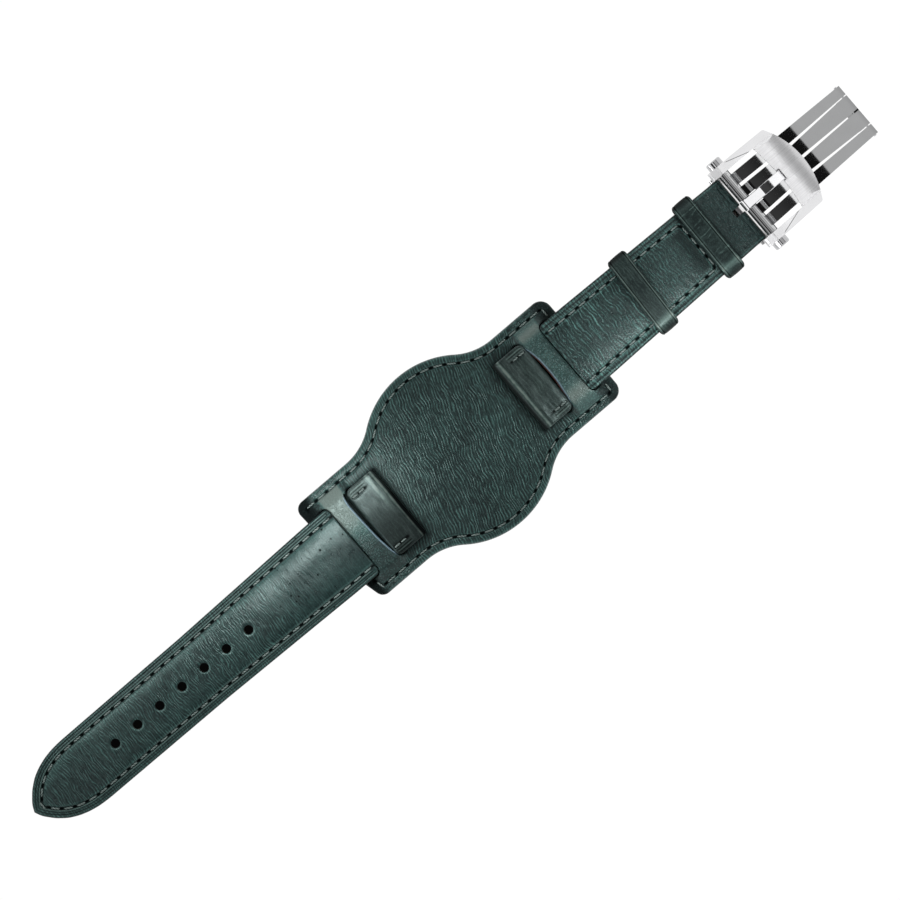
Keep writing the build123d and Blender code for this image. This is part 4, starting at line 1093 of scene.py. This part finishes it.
def inner_end(name, sign, mats):
    prof = loop_profile()
    area = 0.5 * np.sum(prof[:, 0] * np.roll(prof[:, 1], -1) - np.roll(prof[:, 0], -1) * prof[:, 1])
    if area < 0:
        prof = prof[::-1]
    hole = np.array(arc(20.4, 4.0, 0.9, 0, 360 - 360 / 24, 24))
    inward = normals(prof)
    w = loop_half_width(prof[:, 0], prof[:, 1])
    ys = np.concatenate([np.linspace(-1, 1, 61)])
    rows, dark, light, verts, faces, slots = [], [], [], [], [], []
    ends = [(10.05, 0.40), (9.99, 0.24), (9.88, 0.11), (9.7, 0.03), (9.45, 0.0)]
    etas = [(-1, e, s) for e, s in ends] + [(0, y, 0.0) for y in np.linspace(-9.1, 9.1, 60)] + \
           [(1, e, s) for e, s in reversed(ends)]
    count = 0
    for side, y, shrink in etas:
        q = prof + inward * shrink
        yy = np.full(len(prof), y if side == 0 else side * y) * (w / 10.05)
        on_top = (prof[:, 1] > 4.4) & (prof[:, 0] < 27.2)
        tuck = np.zeros(len(prof))
        # two sewn tacks pull the fold in a little, and the ridge of the fold is uneven
        bump = 0.05 * vnoise(prof[:, 0] / 1.4, yy / 2.2, 41) + 0.03 * vnoise(prof[:, 0] / 0.5, yy / 3.0, 43)
        tack = sum(np.exp(-(((prof[:, 0] - c) / 1.6) ** 2 + ((np.abs(yy) - 7.8) / 0.5) ** 2)) for c in (24.2, 26.2))
        zz = q[:, 1] + on_top * (bump - 0.16 * np.clip(tack, 0, 1))
        crease = np.exp(-(((np.abs(yy) - 9.35) / 0.13) ** 2)) + np.exp(-(((np.abs(yy) - 8.75) / 0.13) ** 2))
        zz = zz - on_top * 0.1 * crease * smooth(22.0, 23.4, prof[:, 0])
        verts.append(np.column_stack([sign * q[:, 0], yy, zz]))
        # painted highlight: a pale line along the fold's ridge, and on the long side a second, brighter towards +Y
        ridge = np.exp(-(((prof[:, 0] - (19.8 if sign < 0 else 20.4)) / 0.26) ** 2)) * (prof[:, 1] > 4.6)
        ridge2 = np.exp(-(((prof[:, 0] - 21.3) / 0.4) ** 2)) * (prof[:, 1] > 4.6) * (sign < 0)
        wave = 1 + 0.5 * vnoise(yy / 0.55, prof[:, 0] / 2.0, 71)
        light.append(0.9 * ridge * wave + 1.0 * ridge2 * wave * smooth(-2.0, 7.0, yy) +
                     on_top * smooth(22.0, 23.4, prof[:, 0]) *
                     (0.55 * np.exp(-(((np.abs(yy) - 9.05) / 0.13) ** 2)) + 0.5 * np.exp(-(((np.abs(yy) - 8.35) / 0.12) ** 2))))
        # painted shade: black needle holes, a dark line along each tack row and in the creases, the fold's underside
        # and front end, and on the long side the top's -Y half
        needle = sum(np.exp(-((((prof[:, 0] - c) / 0.5) ** 2 + ((np.abs(yy) - 7.8) / 0.36) ** 2) ** 2))
                     for c in (23.2, 25.2, 27.1))
        deep = (prof[:, 1] < 4.3) * 0.35 + 0.8 * (1 - smooth(19.3, 20.0, prof[:, 0])) * (prof[:, 1] > 4.3)
        deep = deep + on_top * 0.6 * (sign < 0) * smooth(6.5, -4.0, yy)
        sewn = np.exp(-(((np.abs(yy) - 7.8) / 0.3) ** 2)) * smooth(22.2, 22.8, prof[:, 0]) * 0.8
        dark.append(np.clip(on_top * (np.maximum(needle, sewn) + 0.8 * crease * smooth(22.0, 23.4, prof[:, 0])) + deep, 0, 1))
        rows.append(np.arange(count, count + len(prof)))
        count += len(prof)
    n = len(prof)
    for a, b in zip(rows, rows[1:]):
        for i in range(n):
            j = (i + 1) % n
            faces.append((int(a[i]), int(a[j]), int(b[j]), int(b[i])))
            slots.append(0)
    # flat cut ends, each with the hole for the spring bar
    bores = []
    for end, row in ((0, rows[0]), (-1, rows[-1])):
        loop = prof + inward * ends[0][1]
        p, tri, ids = triangulate([loop, hole], np.zeros((0, 2)))
        back = {v: int(row[i]) for i, v in enumerate(ids[0])}
        y = -10.05 if end == 0 else 10.05
        ring = []
        for v in ids[1]:
            verts.append(np.array([[sign * p[v, 0], y, p[v, 1]]]))
            dark.append(np.array([0.4]))
            light.append(np.array([0.0]))
            back[v] = count
            ring.append(count)
            count += 1
        bores.append(ring)
        for t in tri:
            if all(v in back for v in t):
                faces.append(tuple(back[int(v)] for v in t))
                slots.append(0)
    for i in range(len(bores[0])):
        j = (i + 1) % len(bores[0])
        faces.append((bores[0][i], bores[0][j], bores[1][j], bores[1][i]))
        slots.append(1)
    ob = make_object(name, np.vstack(verts), faces, mats, slots,
                     {"dark": np.concatenate(dark), "light": np.concatenate(light)})
    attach(ob, "pad")
    return ob


for side_name, sign in (("long", -1), ("short", 1)):
    ob = inner_end(side_name + "_loop", sign, [mat_tab, mat_lining])
    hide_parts(side_name + "_end_loop")
    tacks = stitches(side_name + "_loop_tacks",
                     [(sign * x, y, 5.03, 0.0, 0.0, 0.78) for x in (24.2, 26.15) for y in (-7.8, 7.8)], mat_thread,
                     r=0.17, length=2.2)
    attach(tacks, "pad")
    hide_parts(side_name + "_loop_thread")


# ------------------------------------------------------------------ keepers
def keeper(name, x_mid, mats, seed, skew):
    """Leather band: its section is swept round a rounded rectangle in Y and Z."""
    outer_w, top, r = 11.05, 7.5, 2.7
    path = arc(outer_w - r, r, r, -90, 0, 10) + arc(outer_w - r, top - r, r, 0, 90, 10) + \
        arc(-outer_w + r, top - r, r, 90, 180, 10) + arc(-outer_w + r, r, r, 180, 270, 10)
    path = resample(np.array(path), 0.3)
    out = -normals(path)
    half = 2.65
    # across the band: distance along X, depth below the outer face
    section = []
    for u in np.linspace(-half + 0.05, half - 0.05, 45):
        e = half - abs(u)
        depth = float(edge_round(np.array([e]), 0.4, 0.3)[0]) + 0.1 * math.exp(-(((e - 0.62) / 0.12) ** 2))
        section.append((u, depth - 0.05 * math.cos(math.pi * u / half / 2) ** 2 + 0.05))
    section += [(half, 0.42), (half, 0.62), (half - 0.06, 0.82), (half - 0.2, 0.97)]
    section += [(u, 1.0) for u in np.linspace(half - 0.6, -half + 0.6, 12)]
    section += [(-half + 0.2, 0.97), (-half + 0.06, 0.82), (-half, 0.62), (-half, 0.42)]
    verts, faces, slots, dark, light = [], [], [], [], []
    m, k = len(path), len(section)
    for i in range(m):
        for j, (u, depth) in enumerate(section):
            y, z = path[i]
            ny, nz = out[i]
            wob = 0.0
            if depth < 0.5:
                wob = 0.03 * float(vnoise(np.array([y / 3.0 + seed]), np.array([u / 3.0 + z]), seed)[0])
            yy = y - ny * (depth + wob)
            narrow = 1 - 0.16 * min(1.0, max(0.0, (abs(yy) - 9.9) / 1.1)) ** 2
            verts.append((x_mid + u * narrow + skew * yy, yy, z - nz * (depth + wob)))
            e = half - abs(u)
            cap = float(smooth(9.4, 10.6, abs(y)))
            # painted shade: the outer face darker above its lower side, a dark line in the groove inside each edge, and
            # the round ends where the band turns down; the cut edges are dyed dark
            dark.append(min(1.0, 0.2 * float(smooth(-8.0, -6.0, y)) * (depth < 0.5) +
                            0.7 * math.exp(-(((e - 0.66) / 0.13) ** 2)) * (depth < 0.5) +
                            0.8 * (depth > 0.3) * (depth < 0.95) + 0.6 * cap))
            # painted highlight: a pale line along each rounded edge and a pale patch near the lower side
            light.append((0.75 * math.exp(-(((e - 0.42) / 0.12) ** 2)) + 0.15 * math.exp(-(((e - 0.98) / 0.2) ** 2))) *
                         (depth < 0.5) * (1 - 0.5 * cap) + 0.5 * math.exp(-(((y + 8.3) / 0.8) ** 2)) * (depth < 0.5))
    for i in range(m):
        i2 = (i + 1) % m
        for j in range(k):
            j2 = (j + 1) % k
            faces.append((i * k + j, i2 * k + j, i2 * k + j2, i * k + j2))
            slots.append(1 if 49 <= j < 60 else 0)
    ob = make_object(name, np.array(verts), faces, mats, slots,
                     {"dark": np.array(dark, float), "light": np.array(light, float)})
    return ob


free = keeper("loose_keeper", 57.95, [mat_keeper, mat_lining], 3, 0.044)
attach(free, "sliding_keeper")
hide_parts("free_keeper")
fixed = keeper("sewn_keeper", 78.45, [mat_sewn, mat_lining], 5, 0.014)
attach(fixed, "short_half")
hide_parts("fixed_keeper")

# ------------------------------------------------------------------ steel
for name, mat in (("base_blade", mat_blade), ("fold_blade", mat_blade), ("far_hinge_pin", mat_polished),
                  ("pivot_pin", mat_bar_shaded), ("buckle_frame", mat_brushed), ("tang", mat_polished),
                  ("pusher_left", mat_button), ("pusher_right", mat_button), ("spring_bar_tube", mat_bar_shaded),
                  ("spring_bar_tip_left", mat_polished), ("spring_bar_tip_right", mat_polished),
                  ("spring_bar_spring", mat_spring), ("pusher_spring_left", mat_spring), ("pusher_spring_right", mat_spring)):
    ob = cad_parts[name]
    if not ob.data.materials:
        ob.data.materials.append(mat)
    for i in range(len(ob.material_slots)):
        ob.material_slots[i].material = mat

# ------------------------------------------------------------------ floor, light and camera
scene = bpy.context.scene
scene.view_settings.view_transform = "Standard"

floor_me = bpy.data.meshes.new("floor")
floor_me.from_pydata([(-3, -3, -0.00003), (3, -3, -0.00003), (3, 3, -0.00003), (-3, 3, -0.00003)], [], [(0, 1, 2, 3)])
floor = bpy.data.objects.new("floor", floor_me)
scene.collection.objects.link(floor)
fm = bpy.data.materials.new("floor")
fm.use_nodes = True
ft = fm.node_tree
for n in list(ft.nodes):
    ft.nodes.remove(n)
fo = ft.nodes.new("ShaderNodeOutputMaterial")
fe = ft.nodes.new("ShaderNodeEmission")
fe.inputs["Color"].default_value = (1, 1, 1, 1)
fe.inputs["Strength"].default_value = 1.02
# narrow wells under the strap, such as its holes, stay dark
fc = ft.nodes.new("ShaderNodeTexCoord")
fx = ft.nodes.new("ShaderNodeSeparateXYZ")
ft.links.new(fc.outputs["Object"], fx.inputs[0])


def floor_range(value, low, high, a, b):
    n = ft.nodes.new("ShaderNodeMapRange")
    for key, v in (("From Min", low), ("From Max", high), ("To Min", a), ("To Max", b)):
        if isinstance(v, bpy.types.NodeSocket):
            ft.links.new(v, n.inputs[key])
        else:
            n.inputs[key].default_value = v
    ft.links.new(value, n.inputs["Value"])
    return n.outputs[0]


far_side = floor_range(fx.outputs[0], -0.06, -0.055, 1.0, 0.0)
fa = ft.nodes.new("ShaderNodeAmbientOcclusion")
fa.samples = 16
ft.links.new(floor_range(far_side, 0.0, 1.0, 0.003, 0.008), fa.inputs["Distance"])
fr = ft.nodes.new("ShaderNodeMapRange")
ft.links.new(floor_range(far_side, 0.0, 1.0, 0.2, 0.3), fr.inputs["From Min"])
ft.links.new(floor_range(far_side, 0.0, 1.0, 0.42, 0.5), fr.inputs["From Max"])
fr.inputs["To Min"].default_value = 0.002
fr.inputs["To Max"].default_value = 1.02
ft.links.new(fa.outputs["AO"], fr.inputs["Value"])
under = ft.nodes.new("ShaderNodeMath")
under.operation = "MAXIMUM"
ft.links.new(fr.outputs[0], under.inputs[0])
ft.links.new(floor_range(fx.outputs[0], 0.0895, 0.0905, 0.0, 1.02), under.inputs[1])
ft.links.new(under.outputs[0], fe.inputs["Strength"])
ft.links.new(fe.outputs[0], fo.inputs["Surface"])
floor_me.materials.append(fm)

# The studio: a soft surround with a dark patch overhead, brighter across the strap and dimmer along it.
world = bpy.data.worlds.new("studio")
scene.world = world
world.use_nodes = True
wt = world.node_tree
for n in list(wt.nodes):
    wt.nodes.remove(n)


def wmath(op, a, b=0.0, clamp=False):
    n = wt.nodes.new("ShaderNodeMath")
    n.operation = op
    n.use_clamp = clamp
    for s, v in ((n.inputs[0], a), (n.inputs[1], b)):
        if isinstance(v, bpy.types.NodeSocket):
            wt.links.new(v, s)
        else:
            s.default_value = v
    return n.outputs[0]


def wramp(value, low, high, a=0.0, b=1.0):
    n = wt.nodes.new("ShaderNodeMapRange")
    n.interpolation_type = "SMOOTHSTEP"
    wt.links.new(value, n.inputs["Value"])
    for k, v in (("From Min", low), ("From Max", high), ("To Min", a), ("To Max", b)):
        n.inputs[k].default_value = v
    return n.outputs[0]


tc = wt.nodes.new("ShaderNodeTexCoord")
sep = wt.nodes.new("ShaderNodeSeparateXYZ")
wt.links.new(tc.outputs["Generated"], sep.inputs[0])
wx_, wy_, wz_ = sep.outputs
# tilt from straight up towards +X and towards either side, as slopes
up = wmath("MAXIMUM", wz_, 0.02)
sx = wmath("DIVIDE", wx_, up)
sy = wmath("ABSOLUTE", wmath("DIVIDE", wy_, up))
rad = wmath("SQRT", wmath("ADD", wmath("MULTIPLY", sx, sx), wmath("MULTIPLY", sy, sy)))
# Round the dark patch overhead the surround is dim; a paler strip lies to the clasp's side, and a bright one, then a
# dark one, to the tip's side. Low down it is white all round.
narrow = wramp(sy, 0.30, 0.12, 0.0, 1.0)
dim = wmath("MULTIPLY", wramp(rad, 0.15, 0.6, 0.10, 1.0), wramp(rad, 0.95, 2.0, 0.10, 1.0))
grey = wmath("MULTIPLY", wmath("MULTIPLY", wramp(sx, 0.139, 0.146, 0.0, 0.60), wramp(sx, 1.3, 0.9, 0.0, 1.0)), narrow)
bright = wmath("MULTIPLY", wmath("MULTIPLY", wramp(sx, -0.07, -0.09, 0.0, 1.3), wramp(sx, -0.318, -0.312, 0.0, 1.0)), narrow)
beyond = wmath("MULTIPLY", wramp(sx, -0.95, -1.1, 0.0, 1.2), wramp(sy, 0.55, 0.4, 0.0, 1.0))
value = wmath("MAXIMUM", wmath("MAXIMUM", wmath("MAXIMUM", dim, grey), bright), beyond)
black = wmath("MULTIPLY", wmath("MULTIPLY", wramp(sx, -0.312, -0.318, 0.0, 1.0), wramp(sx, -1.05, -0.95, 0.0, 1.0)),
              wramp(sy, 0.55, 0.4, 0.0, 1.0))
value = wmath("MULTIPLY", value, wmath("SUBTRACT", 1.0, wmath("MULTIPLY", black, 0.45)))
value = wmath("MULTIPLY", value, wramp(wz_, -0.05, 0.1, 0.6, 1.0))
lp = wt.nodes.new("ShaderNodeLightPath")
bg = wt.nodes.new("ShaderNodeBackground")
bgc = wt.nodes.new("ShaderNodeBackground")
bg.inputs["Color"].default_value = (1, 1, 1, 1)
bgc.inputs["Color"].default_value = (1, 1, 1, 1)
wt.links.new(value, bg.inputs["Strength"])
mixw = wt.nodes.new("ShaderNodeMixShader")
wo = wt.nodes.new("ShaderNodeOutputWorld")
wt.links.new(lp.outputs["Is Camera Ray"], mixw.inputs[0])
wt.links.new(bg.outputs[0], mixw.inputs[1])
wt.links.new(bgc.outputs[0], mixw.inputs[2])
wt.links.new(mixw.outputs[0], wo.inputs["Surface"])


def area(name, loc, target, size, power):
    light = bpy.data.lights.new(name, "AREA")
    light.shape = "RECTANGLE"
    light.size, light.size_y = size
    light.energy = power
    ob = bpy.data.objects.new(name, light)
    ob.location = loc
    ob.rotation_mode = "QUATERNION"
    ob.rotation_quaternion = (Vector(target) - Vector(loc)).to_track_quat("-Z", "Y")
    ob.visible_camera = False
    scene.collection.objects.link(ob)
    return ob


# two small soft boxes low over the halves, each above one side, and a long one at the tip's side
area("soft_left", (-0.041, 0.0100, 0.034), (-0.041, 0.0095, 0.0), (0.044, 0.007), 0.0112)
area("soft_right", (0.053, -0.0150, 0.034), (0.053, -0.0060, 0.0), (0.034, 0.006), 0.0085)
area("soft_tip", (-0.098, 0.026, 0.046), (-0.098, 0.005, 0.0), (0.064, 0.010), 0.0090)
# two more stand beside the clasp's bow
area("bow_left", (0.0945, 0.034, 0.052), (0.103, 0.0, 0.009), (0.034, 0.020), 0.0085)
area("bow_right", (0.0945, -0.034, 0.052), (0.103, 0.0, 0.009), (0.034, 0.020), 0.0085)

cam_data = bpy.data.cameras.new("camera")
cam_data.type = "PERSP"
cam_data.sensor_width = 36.0
cam_data.lens = 36.0 * 2000.0 / 215.8
cam_data.clip_start, cam_data.clip_end = 0.05, 20.0
cam = bpy.data.objects.new("camera", cam_data)
cam.location = (-0.001756, 0.001401, 2.004)
cam.rotation_euler = (0, 0, math.radians(-40.5))
scene.collection.objects.link(cam)
scene.camera = cam
